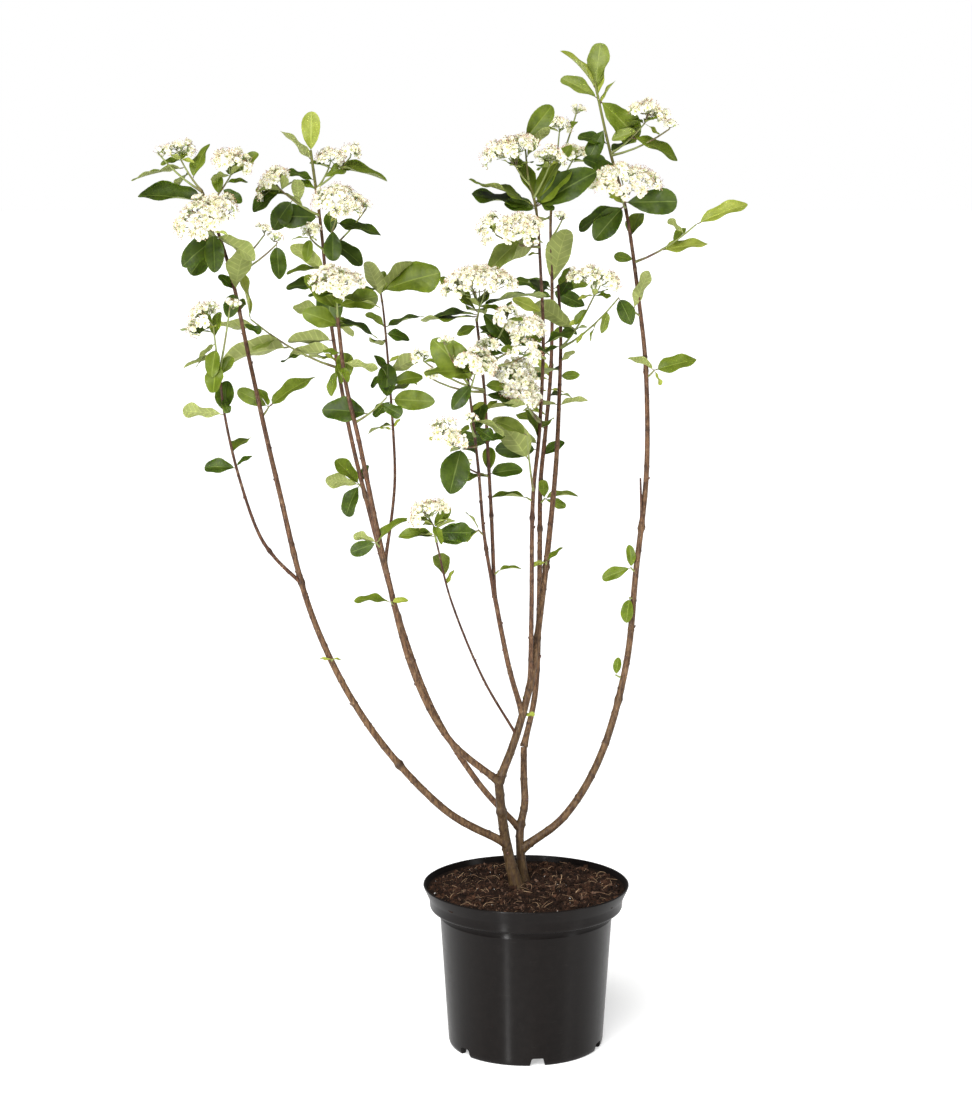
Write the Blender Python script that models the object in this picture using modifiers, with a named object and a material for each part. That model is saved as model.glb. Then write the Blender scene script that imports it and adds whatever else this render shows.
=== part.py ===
"""Black chokeberry in flower, in its black nursery pot.

Metres, +Z up. The origin is the centre of the pot's underside, and -Y is the front.
A pot of some four and a half litres holds compost, and two short trunks carry long
arching stems. Each stem is bare below and ends in a mass of leaves and flat white flower
heads. A mass is one stem with its twigs, leaves and flower clusters fused on it. The
tables are in millimetres and degrees, because that is how a plant is measured; MM turns
them into metres.
"""
import math
import random

import bmesh
import bpy
from mathutils import Matrix, Vector
from mathutils.bvhtree import BVHTree

MM = 0.001
GAP = 0.3                      # air between two pieces that meet

# Pot: turned shell with a rolled lip, a deep band, a tapered wall and a foot ring
POT_HEIGHT = 181
LIP_RADIUS = 113
LIP_DEPTH = 2.4
BAND_RADIUS = 106
BAND_TOP = 166                 # above it the wall flares to the lip
BAND_FOOT = 154
BAND_EDGE = 3.5                # radius of the band's lower corner
WALL_TOP_RADIUS = 95
WALL_FOOT_RADIUS = 85.5
FOOT_EDGE = 2.5                # rounding where the wall meets the ground
FOOT_INNER_RADIUS = 78
SKIN = 1.5
FLOOR_UNDERSIDE = 9
FLOOR_THICK = 2
PAD_RADIUS = 28
TURNS = 26                     # facets round the pot
NOTCH_COUNT = 6
NOTCH_WIDTH = 17
NOTCH_HEIGHT = 9
NOTCH_DEPTH = 24
NOTCH_BELOW = 4                # how far the cutter starts under the ground
FIRST_NOTCH = 8                # degrees to the right of the front
DRAIN_RADIUS = 6
DRAIN_CIRCLE = 54
SOIL_TOP = 177

# Stems: name, stem it grows from, radius at foot and tip, heights where the limb is
# split, height where its foliage starts (None for a bare limb), and its route
STEMS = (
    ("trunk_front", None, (6.0, 4.9), (), None,
     ((-6, 13, 158), (-19, 8, 210), (-26, 1, 252), (-31, -10, 305))),
    ("trunk_rear", None, (5.2, 3.6), (), None,
     ((-1, 27, 158), (-6, 27, 211), (-6, 28, 236), (-1, 36, 262), (-2, 44, 288),
      (-2, 52, 322))),
    ("outer_left", "trunk_front", (4.4, 1.6), (400, ), 794,
     ((-21, 4, 224), (-94, -8, 270), (-174, -20, 367), (-231, -30, 487), (-266, -40, 634),
      (-290, -50, 752), (-309, -55, 850), (-329, -50, 913), (-340, -44, 938))),
    ("low_left", "outer_left", (2.0, 1.2), (), 635,
     ((-240, -32, 520), (-268, -50, 552), (-286, -65, 586), (-303, -90, 651),
      (-313, -110, 711), (-317, -118, 757))),
    ("right_centre", "trunk_front", (4.7, 1.5), (), 689,
     ((-30, -8, 297), (-11, -10, 350), (5, -5, 412), (16, 5, 492), (24, 15, 560),
      (32, 30, 643), (36, 45, 730), (37, 55, 788), (34, 60, 834))),
    ("left", "trunk_front", (3.9, 1.9), (410, ), 678,
     ((-30, -8, 297), (-86, -20, 350), (-125, -30, 432), (-153, -40, 549), (-177, -55, 674),
      (-191, -65, 742), (-198, -75, 810))),
    ("rear", "trunk_rear", (3.4, 1.4), (), 615,
     ((-2, 52, 322.3), (11, 63, 384), (15, 80, 472), (16, 98, 545), (17, 115, 610),
      (23, 130, 670), (29, 143, 740), (30, 155, 825), (28, 152, 900), (33, 150, 960))),
    ("inner_left", "trunk_rear", (3.4, 1.5), (415, ), 720,
     ((-7, 28, 235), (-56, 31, 291), (-105, 36, 373), (-142, 45, 476), (-175, 47, 600),
      (-195, 40, 691), (-212, 33, 802), (-221, 30, 900), (-231, 30, 979))),
    ("mid_left", "inner_left", (1.8, 1.1), (), 659,
     ((-155, 48, 531), (-147, 70, 589), (-145, 85, 633), (-150, 107, 710), (-157, 120, 792),
      (-161, 122, 823))),
    ("low_front", "right_centre", (1.5, 1.0), (), 525,
     ((-11, -10, 350), (-48, -55, 424), (-80, -108, 515), (-95, -150, 586))),
    ("front", "right_centre", (3.1, 2.5), (), None,
     ((-5, -8, 375), (-20, -30, 432), (-36, -55, 517))),
    ("front_left", "front", (2.0, 1.2), (), 653,
     ((-35, -53, 510), (-46, -80, 581), (-52, -110, 655), (-61, -135, 738),
      (-64, -140, 765))),
    ("front_right", "front", (2.2, 1.4), (), 638,
     ((-35, -53, 510), (-38, -65, 590), (-42, -70, 666), (-46, -76, 735), (-54, -85, 808))),
    ("centre", "right_centre", (2.7, 1.4), (), 612,
     ((4, -5, 408), (5, -17, 495), (6, -13, 606), (13, -3, 680), (17, 0, 774), (14, -2, 850),
      (9, -17, 915), (0, -22, 948))),
    ("right", "trunk_rear", (4.6, 1.3), (430, ), 850,
     ((-4, 28, 212), (45, 30, 251), (84, 30, 321), (110, 31, 420), (120, 36, 521),
      (131, 43, 630), (130, 50, 737), (122, 50, 813), (107, 47, 912), (89, 54, 978),
      (72, 57, 1052))),
    ("dead_stub", "right", (1.6, 1.0), (), None,
     ((126, 40, 577), (125, 36, 600), (124, 35, 626))),
)
FLARE = 2.6                    # extra radius of a trunk at the soil
FLARE_HEIGHT = 14

# Foliage: stem, seed, twigs and leaves. A twig is its height on the stem, its reach
# along X, Y and Z, the flower head at its end (None for none), and its leaves. A head is
# its width, and the bearing and angle of its lean.
# A leaf is its bearing (0 right, 90 back, 180 left, 270 front), its lift, its length and
# how far its upper side is tipped to the front. A leaf on the stem has its height first.
FOLIAGE = (
    ("outer_left", 11, (
        (884, (-6, -26, 12), (70, 240, 32), ((190, -47, 46, 50), (212, -30, 46, 50),
                                             (350, -24, 50, -40), (280, -70, 42, 0))),
        (938, (-22, 12, 31), (34, 180, 15), ((40, 71, 44, 20), (130, -20, 30, 20),
                                             (182, -8, 58, -14), (185, 0, 22, 30))),
        (937, (-45, 4, 39), (13, 180, 10), ()),
        (923, (22, 18, 30), (50, 0, 12), ((100, 70, 26, 0), (330, -25, 26, 40),
                                          (20, 12, 24, 30), (12, 42, 38, 50))),
        (856, (35, 15, 36), (15, 0, 10), ()),
        (850, (46, 15, 32), (12, 0, 20), ((285, -65, 38, 0), ))),
     ((926, 175, 11, 74, 25), (835, 170, 50, 24, 30), (833, 240, -60, 28, 30),
      (834, 300, 76, 54, 0), (800, 0, -20, 22, 40))),
    ("low_left", 12, (
        (757, (-4, -12, 46), (46, 180, 50), ((185, -10, 36, -15), (258, -68, 42, 0),
                                             (250, -60, 30, 10), (200, -38, 32, -40),
                                             (60, 75, 28, 0), (180, 8, 36, 12),
                                             (180, -14, 24, 30))),
        (756, (12, -2, 66), (13, 0, 10), ())),
     ((653, 180, 8, 34, 40), (655, 0, 45, 20, 30), (711, 175, 8, 44, -50),
      (713, 80, 80, 34, 0), (728, 300, -30, 20, 0), (752, 30, 55, 24, 50))),
    ("inner_left", 13, (
        (746, (-92, -20, 54), None, ((190, -8, 26, 15), (182, -1, 78, -40), (200, -15, 30, 30),
                                     (178, 9, 58, -35), (165, 82, 54, -12))),
        (874, (-13, -8, 12), (22, 180, 10), ((250, -60, 26, 10), )),
        (910, (-40, -10, 27), (42, 180, 45), ((175, 40, 28, -20), (270, 84, 28, 0),
                                              (200, -50, 38, 60), (180, 25, 34, 30),
                                              (185, -32, 38, 40))),
        (937, (13, 15, 23), (36, 0, 15), ((0, 35, 28, 50), (2, -3, 64, 18))),
        (939, (36, 18, 32), (20, 0, 15), ()),
        (872, (18, -48, 40), (56, 285, 25), ((350, -28, 44, 40), (100, 70, 26, 0),
                                             (265, -75, 34, 0), (345, -10, 52, 30),
                                             (30, 50, 14, -30))),
        (870, (48, -50, 48), (18, 0, 20), ())),
     ((776, 185, 4, 50, -50), (764, 180, 0, 50, -40), (744, 220, -65, 30, 10),
      (752, 190, 40, 16, 30), (752, 300, -50, 24, 0), (808, 185, 15, 40, -30),
      (837, 180, 0, 44, 15), (846, 282, -42, 62, 0), (850, 190, 44, 48, -60),
      (853, 180, 2, 42, 8), (790, 30, 20, 30, 40), (908, 195, 3, 46, 70),
      (947, 180, 25, 32, 30), (937, 170, 35, 20, 40), (976, 90, 84, 46, 0),
      (968, 175, 48, 46, -35))),
    ("left", 14, (
        (808, (0, -12, 24), (58, 270, 15), ((205, 50, 50, 65), (0, 20, 44, 60), (60, 70, 20, 0),
                                            (5, 4, 46, 15), (180, 5, 30, 10))),
        (697, (33, 14, 25), None, ((180, 11, 50, 45), (40, 20, 20, 30), (330, -20, 28, 40),
                                   (80, 40, 24, 0)))),
     ((806, 0, -14, 46, 20), (761, 0, -5, 38, -50), (757, 290, -40, 22, 0),
      (738, 100, 80, 34, 0), (800, 185, 25, 40, 60), (770, 200, 20, 20, 40))),
    ("mid_left", 15, (
        (812, (-2, 0, 14), None, ((195, 70, 44, -50), (70, 80, 28, 0), (10, 50, 50, -30),
                                  (355, 24, 70, 50), (180, 0, 30, 25))), ),
     ((672, 180, 15, 16, 30), (674, 20, 55, 14, 30), (705, 335, 0, 52, 80),
      (703, 200, -30, 26, 40), (747, 265, -65, 38, 5), (734, 195, -30, 26, 10),
      (722, 190, 70, 36, 30), (745, 20, 30, 16, 40), (734, 15, 32, 42, -60),
      (722, 0, 20, 38, 50), (784, 5, 24, 46, 15), (777, 0, -6, 28, 50),
      (783, 175, 50, 27, 30))),
    ("low_front", 16, (
        (585, (-3, -8, 18), (48, 180, 25), ((180, 8, 38, 25), (185, 0, 20, -30),
                                            (5, 0, 38, 60), (10, 32, 24, -20),
                                            (20, 50, 28, 60), (300, -30, 24, 0))), ),
     ((535, 20, 65, 18, 20), )),
    ("front_left", 17, (
        (679, (-29, -38, 10), (40, 270, 50), ((235, -64, 50, 30), (60, 50, 28, -30),
                                              (170, 55, 22, -40))),
        (690, (-5, -28, 20), (16, 270, 20), ()),
        (738, (6, -22, 20), (44, 300, 20), ((200, -45, 32, 60), (180, 48, 60, 75),
                                            (60, 75, 30, 0), (182, 12, 52, 30))),
        (745, (-24, -24, 42), (14, 180, 10), ()),
        (750, (18, 6, 30), (20, 0, 10), ())),
     ((716, 30, 40, 18, 40), (700, 330, -20, 24, 30), (690, 50, 75, 36, 10))),
    ("front_right", 18, (
        (806, (3, -14, 15), (80, 200, 6), ((180, 0, 60, 10), (175, 8, 48, 5),
                                           (180, 52, 54, 30), (95, 10, 44, 0),
                                           (30, 65, 24, -20), (5, 22, 70, 4))),
        (760, (44, -28, 28), (44, 280, 20), ((178, 2, 32, 50), (175, 10, 20, 30),
                                             (190, 62, 46, 60), (0, -5, 34, 15),
                                             (20, 10, 20, 30))),
        (762, (26, -38, 46), (25, 240, 20), ()),
        (758, (44, -40, 14), (27, 270, 40), ()),
        (733, (-62, -44, 34), (22, 200, 20), ()),
        (731, (-58, -44, 20), (17, 270, 30), ()),
        (642, (-22, 0, 8), (14, 180, 10), ())),
     ((800, 170, -20, 24, 60), (800, 10, -18, 26, 60), (793, 0, 0, 26, 15), (785, 0, -5, 26, 50),
      (728, 0, -3, 34, 40), (738, 350, 0, 28, 60), (712, 30, 40, 18, 40), (713, 0, 12, 42, -20),
      (676, 185, 15, 34, 75), (646, 90, 75, 28, 0), (644, 0, 14, 36, 60), (641, 180, 8, 34, 8),
      (680, 10, 20, 20, 40))),
    ("centre", 19, (
        (885, (-18, -28, 3), (50, 262, 30), ((185, -38, 50, 45), )),
        (878, (-46, -38, 14), (38, 250, 35), ()),
        (944, (-14, -8, 18), (64, 180, 18), ((120, 70, 26, 0), )),
        (946, (-4, 14, 44), None, ((20, 62, 40, -50), (25, 48, 50, 70))),
        (930, (16, -2, 32), (34, 0, 20), ()),
        (693, (-26, -56, 44), (48, 265, 50), ((10, 30, 18, -30), (180, -10, 26, -30))),
        (691, (-18, -58, 32), (33, 275, 60), ((330, -30, 20, 40), )),
        (618, (-8, -48, 66), None, ((180, 58, 62, -70), (190, 30, 36, 40)))),
     ((921, 185, 32, 76, 12), (920, 175, 18, 70, 24), (922, 170, 76, 56, 20),
      (922, 20, 67, 76, 25), (920, 355, 33, 74, 75), (921, 0, 48, 54, 50), (918, 190, 15, 34, 60),
      (886, 185, -25, 46, -70), (870, 150, 10, 16, 10), (808, 180, 28, 36, 60),
      (776, 185, 10, 46, 15), (672, 150, 70, 36, 0), (662, 185, 3, 46, 75),
      (668, 175, 25, 34, -50), (928, 350, -20, 24, 30))),
    ("rear", 20, (
        (950, (5, -10, 48), (27, 250, 20), ()),
        (951, (24, 2, 68), (13, 0, 10), ()),
        (880, (13, -4, 22), (14, 0, 20), ()),
        (935, (20, -20, 30), (38, 0, 15), ((180, 22, 34, 30), (10, 10, 28, 0)))),
     ((640, 15, 35, 30, 50), (684, 180, 22, 26, -15), (711, 180, 5, 18, 5), (712, 0, 0, 17, 10),
      (724, 180, 5, 42, -25), (725, 175, 60, 26, 40), (727, 80, 70, 18, 0),
      (765, 40, 50, 22, 60), (828, 10, 80, 66, -80), (822, 175, 24, 44, 40),
      (824, 5, 18, 44, 60), (822, 345, -22, 40, 75), (815, 180, 15, 22, 40))),
    ("right_centre", 21, (
        (766, (34, -50, 60), (58, 0, 5), ((180, 40, 54, -65), (180, -15, 14, 60),
                                          (200, -45, 22, 30), (20, 5, 20, 30))),
        (766, (60, -52, 58), None, ((200, -45, 16, 20), (215, -60, 22, -40),
                                    (240, -62, 26, 50), (338, -60, 32, 60)))),
     ((706, 180, 3, 40, -15), (705, 0, 18, 32, -30), (736, 0, 5, 22, 80), (751, 10, 45, 20, -40),
      (768, 180, -8, 22, 20), (790, 350, -15, 20, 40), (820, 60, 40, 34, 30),
      (832, 20, 60, 30, 20))),
    ("right", 22, (
        (859, (66, -8, 41), None, ((0, 12, 52, 38), (40, 50, 26, 30), (170, 45, 24, -40),
                                   (0, 28, 60, 42))),
        (918, (-4, -30, 6), (76, 275, 16), ((183, -12, 54, 15), (195, -46, 48, 60),
                                            (170, 50, 22, 50), (350, 2, 58, 80))),
        (975, (36, -4, 32), (46, 0, 15), ((40, 70, 26, -20), (0, -16, 56, 35),
                                          (185, -15, 30, 50), (350, -30, 20, 10))),
        (973, (62, -4, 28), (18, 0, 20), ())),
     ((862, 190, 12, 22, 80), (950, 185, -8, 34, 45), (955, 200, 25, 40, 60),
      (965, 240, -10, 36, 20), (985, 180, 22, 34, 30),
      (1002, 215, -55, 36, 50), (1032, 350, -38, 60, 60), (1033, 180, 35, 46, 45),
      (1045, 70, 80, 50, 0), (1044, 60, 75, 38, 0), (1043, 175, 60, 56, 8),
      (1036, 50, 78, 30, 10), (1026, 20, 65, 32, 0))),
)

# Leafy shoots on the bare part of a stem: name, stem, seed, height, reach, leaves
SPRIGS = (
    ("outer_left_low", "outer_left", 31, 436, (2, -9, 3), ((190, 10, 14, 40), (10, 5, 10, 30))),
    ("outer_left_high", "outer_left", 32, 702, (7, 8, 10),
     ((176, 28, 38, 80), (140, 65, 24, 0), (10, 42, 60, 30))),
    ("inner_left", "inner_left", 33, 612, (-5, 5, 5),
     ((175, 14, 38, -60), (180, 50, 38, 40), (195, -56, 38, 40), (40, 66, 24, 10))),
    ("left_low", "left", 34, 498, (-3, -7, 5), ((180, 15, 40, 5), (0, 15, 18, 50))),
    ("left_high", "left", 35, 561, (-5, -6, 7),
     ((190, -18, 30, 75), (175, 30, 26, -50), (10, 50, 44, 15))),
    ("front", "front_right", 36, 535, (5, -4, 5), ((5, 20, 25, 10), )),
    ("front_left", "front_left", 37, 581, (-6, -4, 6),
     ((182, -8, 42, 65), (150, 65, 24, -40), (190, -35, 18, 10))),
    ("right_centre", "right_centre", 38, 534, (0, -8, 5), ((190, -5, 18, 50), (10, 45, 24, 15))),
    ("centre", "centre", 39, 608, (-7, -3, 4), ((180, 10, 38, 5), )),
    ("rear", "rear", 40, 588, (5, -6, 6),
     ((0, 20, 38, 15), (350, -15, 26, 50), (100, 80, 22, 0))),
    ("right_low", "right", 41, 405, (-9, -3, 4), ((60, 75, 20, 20), )),
    ("right_middle", "right", 42, 493, (-5, -5, 2), ((240, -70, 28, 10), )),
    ("right_pair", "right", 43, 522, (-6, -5, 6), ((100, 80, 26, 0), (190, -15, 34, 50))),
    ("right_high", "right", 44, 734, (9, -2, 9),
     ((175, 35, 32, -40), (0, 18, 48, 45), (340, -60, 18, 10))),
    ("right_top", "right", 45, 801, (-9, -5, 7), ((20, 72, 46, -75), )),
)

# Rules of growth, in millimetres, degrees and fractions
STEM_STEPS = 2                 # pieces between two points of a route
TWIG_RADIUS = (1.3, 0.8)
LEAF_THICK = 1.1
LEAF_CROWN = 0.1               # extra height of a bent leaf's middle, of its tip's fall
LEAF_OUTLINE = {-2: (0.0, 0.0), -1: (0.34, 0.43), 0: (0.5, 0.0), 1: (0.70, 0.50), 2: (1.0, 0.0)}
LEAF_WIDTH = (0.44, 0.62)      # of its length
LEAF_DROOP = (0.05, 0.30)      # fall of the tip, of its length
LEAF_SINK = 0.3                # how far a leaf's foot runs past its twig's axis
GOLDEN_ANGLE = 137.5
SPIRAL_STEP = 18               # rise from one bud to the next
SPIRAL_STOP = 40               # height under the tip where these leaves end
REAR_SECTOR = (25, 155)        # bearings of the buds that open behind the stem
CLUSTER_WIDTH = 30             # a flower head is several of these on one dome
CLUSTER_DEPTH = 9
CLUSTER_FOOT = 0.3             # radius of a cluster's underside, of its top's
CLUSTER_FILL = 0.8
HEAD_RISE = 0.30               # rise of a flower head's edge over its foot, of its width
DOME = 0.22                    # further rise of its middle
SPREAD = 1.08                  # how far the outer clusters lean out
RUGGED = 1.5                   # unevenness of their heights
STALK_RADIUS = 0.9
KNOT_RADIUS = 3.0
TOUCH = 0.5                    # air kept round a leaf on every side
SWING = (0, 12, -12, 24, -24, 36, -36, 48, -48)
LEAF_FREE_FROM = 9             # length of a leaf's foot that may cross its own node
LEAVES_FROM = 0.25             # share of a twig below its first leaf
TWIG_SINK = 0.4                # how far a leaf's foot lies under its twig's axis
SPRIG_SINK = 0.8               # how far short of a sprig's end its leaves join
SPIRAL_LIFT = (-15, 45)         # and the lift and length of their leaves
SPIRAL_LENGTH = (34, 52)


def clear_scene():
    for obj in list(bpy.data.objects):
        bpy.data.objects.remove(obj, do_unlink=True)
    for name in ("Black chokeberry in pot", "Cutters", "Pieces"):
        old = bpy.data.collections.get(name)
        if old:
            bpy.data.collections.remove(old)


def new_collection(name):
    collection = bpy.data.collections.new(name)
    bpy.context.scene.collection.children.link(collection)
    return collection


def principled(name, colour, roughness):
    material = bpy.data.materials.new(name)
    material.use_nodes = True
    shader = material.node_tree.nodes["Principled BSDF"]
    shader.inputs["Base Color"].default_value = (*colour, 1.0)
    shader.inputs["Roughness"].default_value = roughness
    shader.inputs["Metallic"].default_value = 0.0
    return material


clear_scene()
PLANT = new_collection("Black chokeberry in pot")
CUTTERS = new_collection("Cutters")
PIECES = new_collection("Pieces")

BLACK_PLASTIC = principled("Black plastic", (0.02, 0.02, 0.021), 0.35)
COMPOST = principled("Compost", (0.045, 0.028, 0.018), 0.95)
BARK = principled("Bark", (0.19, 0.12, 0.08), 0.75)
LEAF_GREEN = principled("Leaf green", (0.12, 0.22, 0.05), 0.5)


def add_object(name, mesh, collection, material=None):
    obj = bpy.data.objects.new(name, mesh)
    collection.objects.link(obj)
    if material:
        mesh.materials.clear()
        mesh.materials.append(material)
    return obj


def remove_object(obj):
    mesh = obj.data
    bpy.data.objects.remove(obj, do_unlink=True)
    bpy.data.meshes.remove(mesh)


def evaluated_mesh(obj):
    """The mesh of an object with its modifiers or its bevel worked out."""
    bpy.context.view_layer.update()
    graph = bpy.context.evaluated_depsgraph_get()
    return bpy.data.meshes.new_from_object(obj.evaluated_get(graph))


def apply_modifiers(obj):
    """Give an object the mesh that its modifiers make."""
    mesh = evaluated_mesh(obj)
    old = obj.data
    obj.modifiers.clear()
    obj.data = mesh
    bpy.data.meshes.remove(old)


def boolean(obj, operation, cutter=None, collection=None):
    modifier = obj.modifiers.new(operation.title(), "BOOLEAN")
    modifier.operation = operation
    modifier.solver = "EXACT"
    if cutter:
        modifier.object = cutter
    else:
        modifier.operand_type = "COLLECTION"
        modifier.collection = collection


# Pot and compost

def turned(name, profile, material):
    """A closed body of revolution from (radius, height) points."""
    mesh = bpy.data.meshes.new(name)
    points = [(radius * MM, 0.0, height * MM) for radius, height in profile]
    edges = [(i, i + 1) for i in range(len(points) - 1)]
    mesh.from_pydata(points, edges, [])
    obj = add_object(name, mesh, PLANT, material)
    screw = obj.modifiers.new("Turn", "SCREW")
    screw.steps = screw.render_steps = TURNS
    screw.use_merge_vertices = True
    screw.merge_threshold = 0.00001
    apply_modifiers(obj)
    return obj


def pot_inner_profile(clearance):
    """Inside of the pot, from its lip down to the middle of the floor."""
    inside = SKIN + clearance
    floor = FLOOR_UNDERSIDE + FLOOR_THICK + clearance
    ledge = BAND_FOOT + SKIN + clearance
    corner = WALL_FOOT_RADIUS + 0.6 - inside
    return [
        (BAND_RADIUS + 0.7 - inside, BAND_TOP),
        (BAND_RADIUS - inside, ledge + BAND_EDGE),
        (BAND_RADIUS - inside - BAND_EDGE, ledge + 0.6),
        (WALL_TOP_RADIUS - inside, ledge - FOOT_EDGE),
        (corner, floor + FOOT_EDGE),
        (corner - FOOT_EDGE, floor),
        (0, floor),
    ]


def make_pot():
    inner = [(LIP_RADIUS - SKIN, POT_HEIGHT)] + pot_inner_profile(0)
    outer = [
        (LIP_RADIUS, POT_HEIGHT), (LIP_RADIUS - 0.3, POT_HEIGHT - LIP_DEPTH),
        (BAND_RADIUS + 0.8, BAND_TOP), (BAND_RADIUS, BAND_FOOT + BAND_EDGE),
        (BAND_RADIUS - BAND_EDGE, BAND_FOOT), (WALL_TOP_RADIUS, BAND_FOOT - 1),
        (WALL_FOOT_RADIUS, FOOT_EDGE * 2), (WALL_FOOT_RADIUS - FOOT_EDGE, 0),
        (FOOT_INNER_RADIUS, 0), (FOOT_INNER_RADIUS - 1, FLOOR_UNDERSIDE),
        (PAD_RADIUS + 2, FLOOR_UNDERSIDE), (PAD_RADIUS, 0), (0, 0),
    ]
    pot = turned("pot", inner[::-1] + outer, BLACK_PLASTIC)
    for i in range(NOTCH_COUNT):
        angle = math.radians(360 / NOTCH_COUNT * i + FIRST_NOTCH - 90)
        direction = Vector((math.cos(angle), math.sin(angle), 0))
        boolean(pot, "DIFFERENCE", cutter=notch_cutter(i, angle, direction))
        angle += math.radians(180 / NOTCH_COUNT)
        direction = Vector((math.cos(angle), math.sin(angle), 0))
        boolean(pot, "DIFFERENCE", cutter=drain_cutter(i, direction))
    apply_modifiers(pot)
    return pot


def as_cutter(obj):
    obj.hide_render = True
    obj.display_type = "WIRE"
    return obj


def notch_cutter(index, angle, direction):
    """A box through the foot ring, from below the ground to the floor's underside."""
    shape = bmesh.new()
    bmesh.ops.create_cube(shape, size=1.0)
    size = Vector((NOTCH_DEPTH, NOTCH_WIDTH, NOTCH_HEIGHT + NOTCH_BELOW)) * MM
    bmesh.ops.scale(shape, vec=size, verts=shape.verts)
    mesh = bpy.data.meshes.new("notch")
    shape.to_mesh(mesh)
    shape.free()
    cutter = as_cutter(add_object(f"notch_cutter_{index}", mesh, CUTTERS))
    middle = direction * (WALL_FOOT_RADIUS - 2) * MM
    cutter.location = middle + Vector((0, 0, (NOTCH_HEIGHT - NOTCH_BELOW) / 2 * MM))
    cutter.rotation_euler = (0, 0, angle)
    return cutter


def drain_cutter(index, direction):
    """A peg through the floor."""
    shape = bmesh.new()
    bmesh.ops.create_cone(shape, cap_ends=True, segments=6, radius1=DRAIN_RADIUS * MM,
                          radius2=DRAIN_RADIUS * MM, depth=FLOOR_THICK * 10 * MM)
    mesh = bpy.data.meshes.new("drain")
    shape.to_mesh(mesh)
    shape.free()
    cutter = as_cutter(add_object(f"drain_cutter_{index}", mesh, CUTTERS))
    cutter.location = direction * DRAIN_CIRCLE * MM + Vector((0, 0, FLOOR_UNDERSIDE * MM))
    return cutter


def make_soil():
    """Compost that fills the pot, just clear of it all round."""
    wall = pot_inner_profile(GAP)
    rim = LIP_RADIUS - SKIN - GAP
    share = (SOIL_TOP - BAND_TOP) / (POT_HEIGHT - BAND_TOP)
    top = wall[0][0] + (rim - wall[0][0]) * share
    return turned("soil", [(0, SOIL_TOP), (top, SOIL_TOP)] + wall, COMPOST)


# Limbs

def smooth_route(route):
    """Catmull-Rom curve through the points of a route."""
    points = [Vector(p) for p in route]
    ends = [points[0] * 2 - points[1]] + points + [points[-1] * 2 - points[-2]]
    curve = []
    for a, b, c, d in zip(ends, ends[1:], ends[2:], ends[3:]):
        for step in range(STEM_STEPS):
            t = step / STEM_STEPS
            curve.append(0.5 * (2 * b + (c - a) * t + (2 * a - 5 * b + 4 * c - d) * t ** 2
                                + (3 * b - a - 3 * c + d) * t ** 3))
    return curve + [points[-1]]


def stem_radii(curve, radii, is_trunk):
    """Even taper from foot to tip, with a flare where a trunk leaves the soil."""
    along = [0.0]
    for a, b in zip(curve, curve[1:]):
        along.append(along[-1] + (b - a).length)
    foot, tip = radii
    values = [foot + (tip - foot) * length / along[-1] for length in along]
    if is_trunk:
        values = [value + FLARE * math.exp((SOIL_TOP - point.z) / FLARE_HEIGHT)
                  for value, point in zip(values, curve)]
    return values


class Stem:
    """Centre line and radius of a stem from its foot to its tip, in millimetres."""

    def __init__(self, route, radii, is_trunk=False):
        self.curve = smooth_route(route)
        self.radii = stem_radii(self.curve, radii, is_trunk)

    def at(self, height):
        """Point and radius at a height."""
        for i in range(len(self.curve) - 1):
            low, high = self.curve[i].z, self.curve[i + 1].z
            if low <= height <= high:
                t = (height - low) / (high - low)
                point = self.curve[i].lerp(self.curve[i + 1], t)
                return point, self.radii[i] + (self.radii[i + 1] - self.radii[i]) * t
        return self.curve[-1], self.radii[-1]

    def piece(self, bottom, top):
        """Points and radii between two heights, each end half a gap short."""
        points, radii = [], []
        if bottom is not None:
            point, radius = self.at(bottom)
            direction = (self.at(bottom + 1)[0] - point).normalized()
            points.append(point + direction * GAP / 2)
            radii.append(radius)
        for point, radius in zip(self.curve, self.radii):
            above = bottom is None or point.z > bottom + 1
            below = top is None or point.z < top - 1
            if above and below:
                points.append(point)
                radii.append(radius)
        if top is not None:
            point, radius = self.at(top)
            direction = (point - self.at(top - 1)[0]).normalized()
            points.append(point - direction * GAP / 2)
            radii.append(radius)
        return points, radii


def tube(name, points, radii, sides, collection, extra=0.0):
    """A closed tapering tube, made a mesh from a bevelled curve."""
    data = bpy.data.curves.new(name, "CURVE")
    data.dimensions = "3D"
    data.bevel_depth = MM
    data.bevel_resolution = (sides - 4) // 2
    data.use_fill_caps = True
    spline = data.splines.new("POLY")
    spline.points.add(len(points) - 1)
    for target, point, radius in zip(spline.points, points, radii):
        target.co = (*(point * MM), 1.0)
        target.radius = radius + extra
    curve = bpy.data.objects.new(name, data)
    collection.objects.link(curve)
    mesh = evaluated_mesh(curve)
    bpy.data.objects.remove(curve, do_unlink=True)
    bpy.data.curves.remove(data)
    shape = bmesh.new()
    shape.from_mesh(mesh)
    bmesh.ops.remove_doubles(shape, verts=shape.verts, dist=0.00001)
    bmesh.ops.recalc_face_normals(shape, faces=shape.faces)
    shape.to_mesh(mesh)
    shape.free()
    return add_object(name, mesh, collection)


def sides_for(radius):
    return 8 if radius > 3 else 6


def cut_clear_of(obj, stem, name):
    """Cut an object where it starts inside a stem, a gap clear of the bark."""
    cutter = tube(f"{name}_seat", stem.curve, stem.radii, 8, CUTTERS, extra=GAP)
    boolean(obj, "DIFFERENCE", cutter=as_cutter(cutter))
    apply_modifiers(obj)
    remove_object(cutter)


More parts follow.
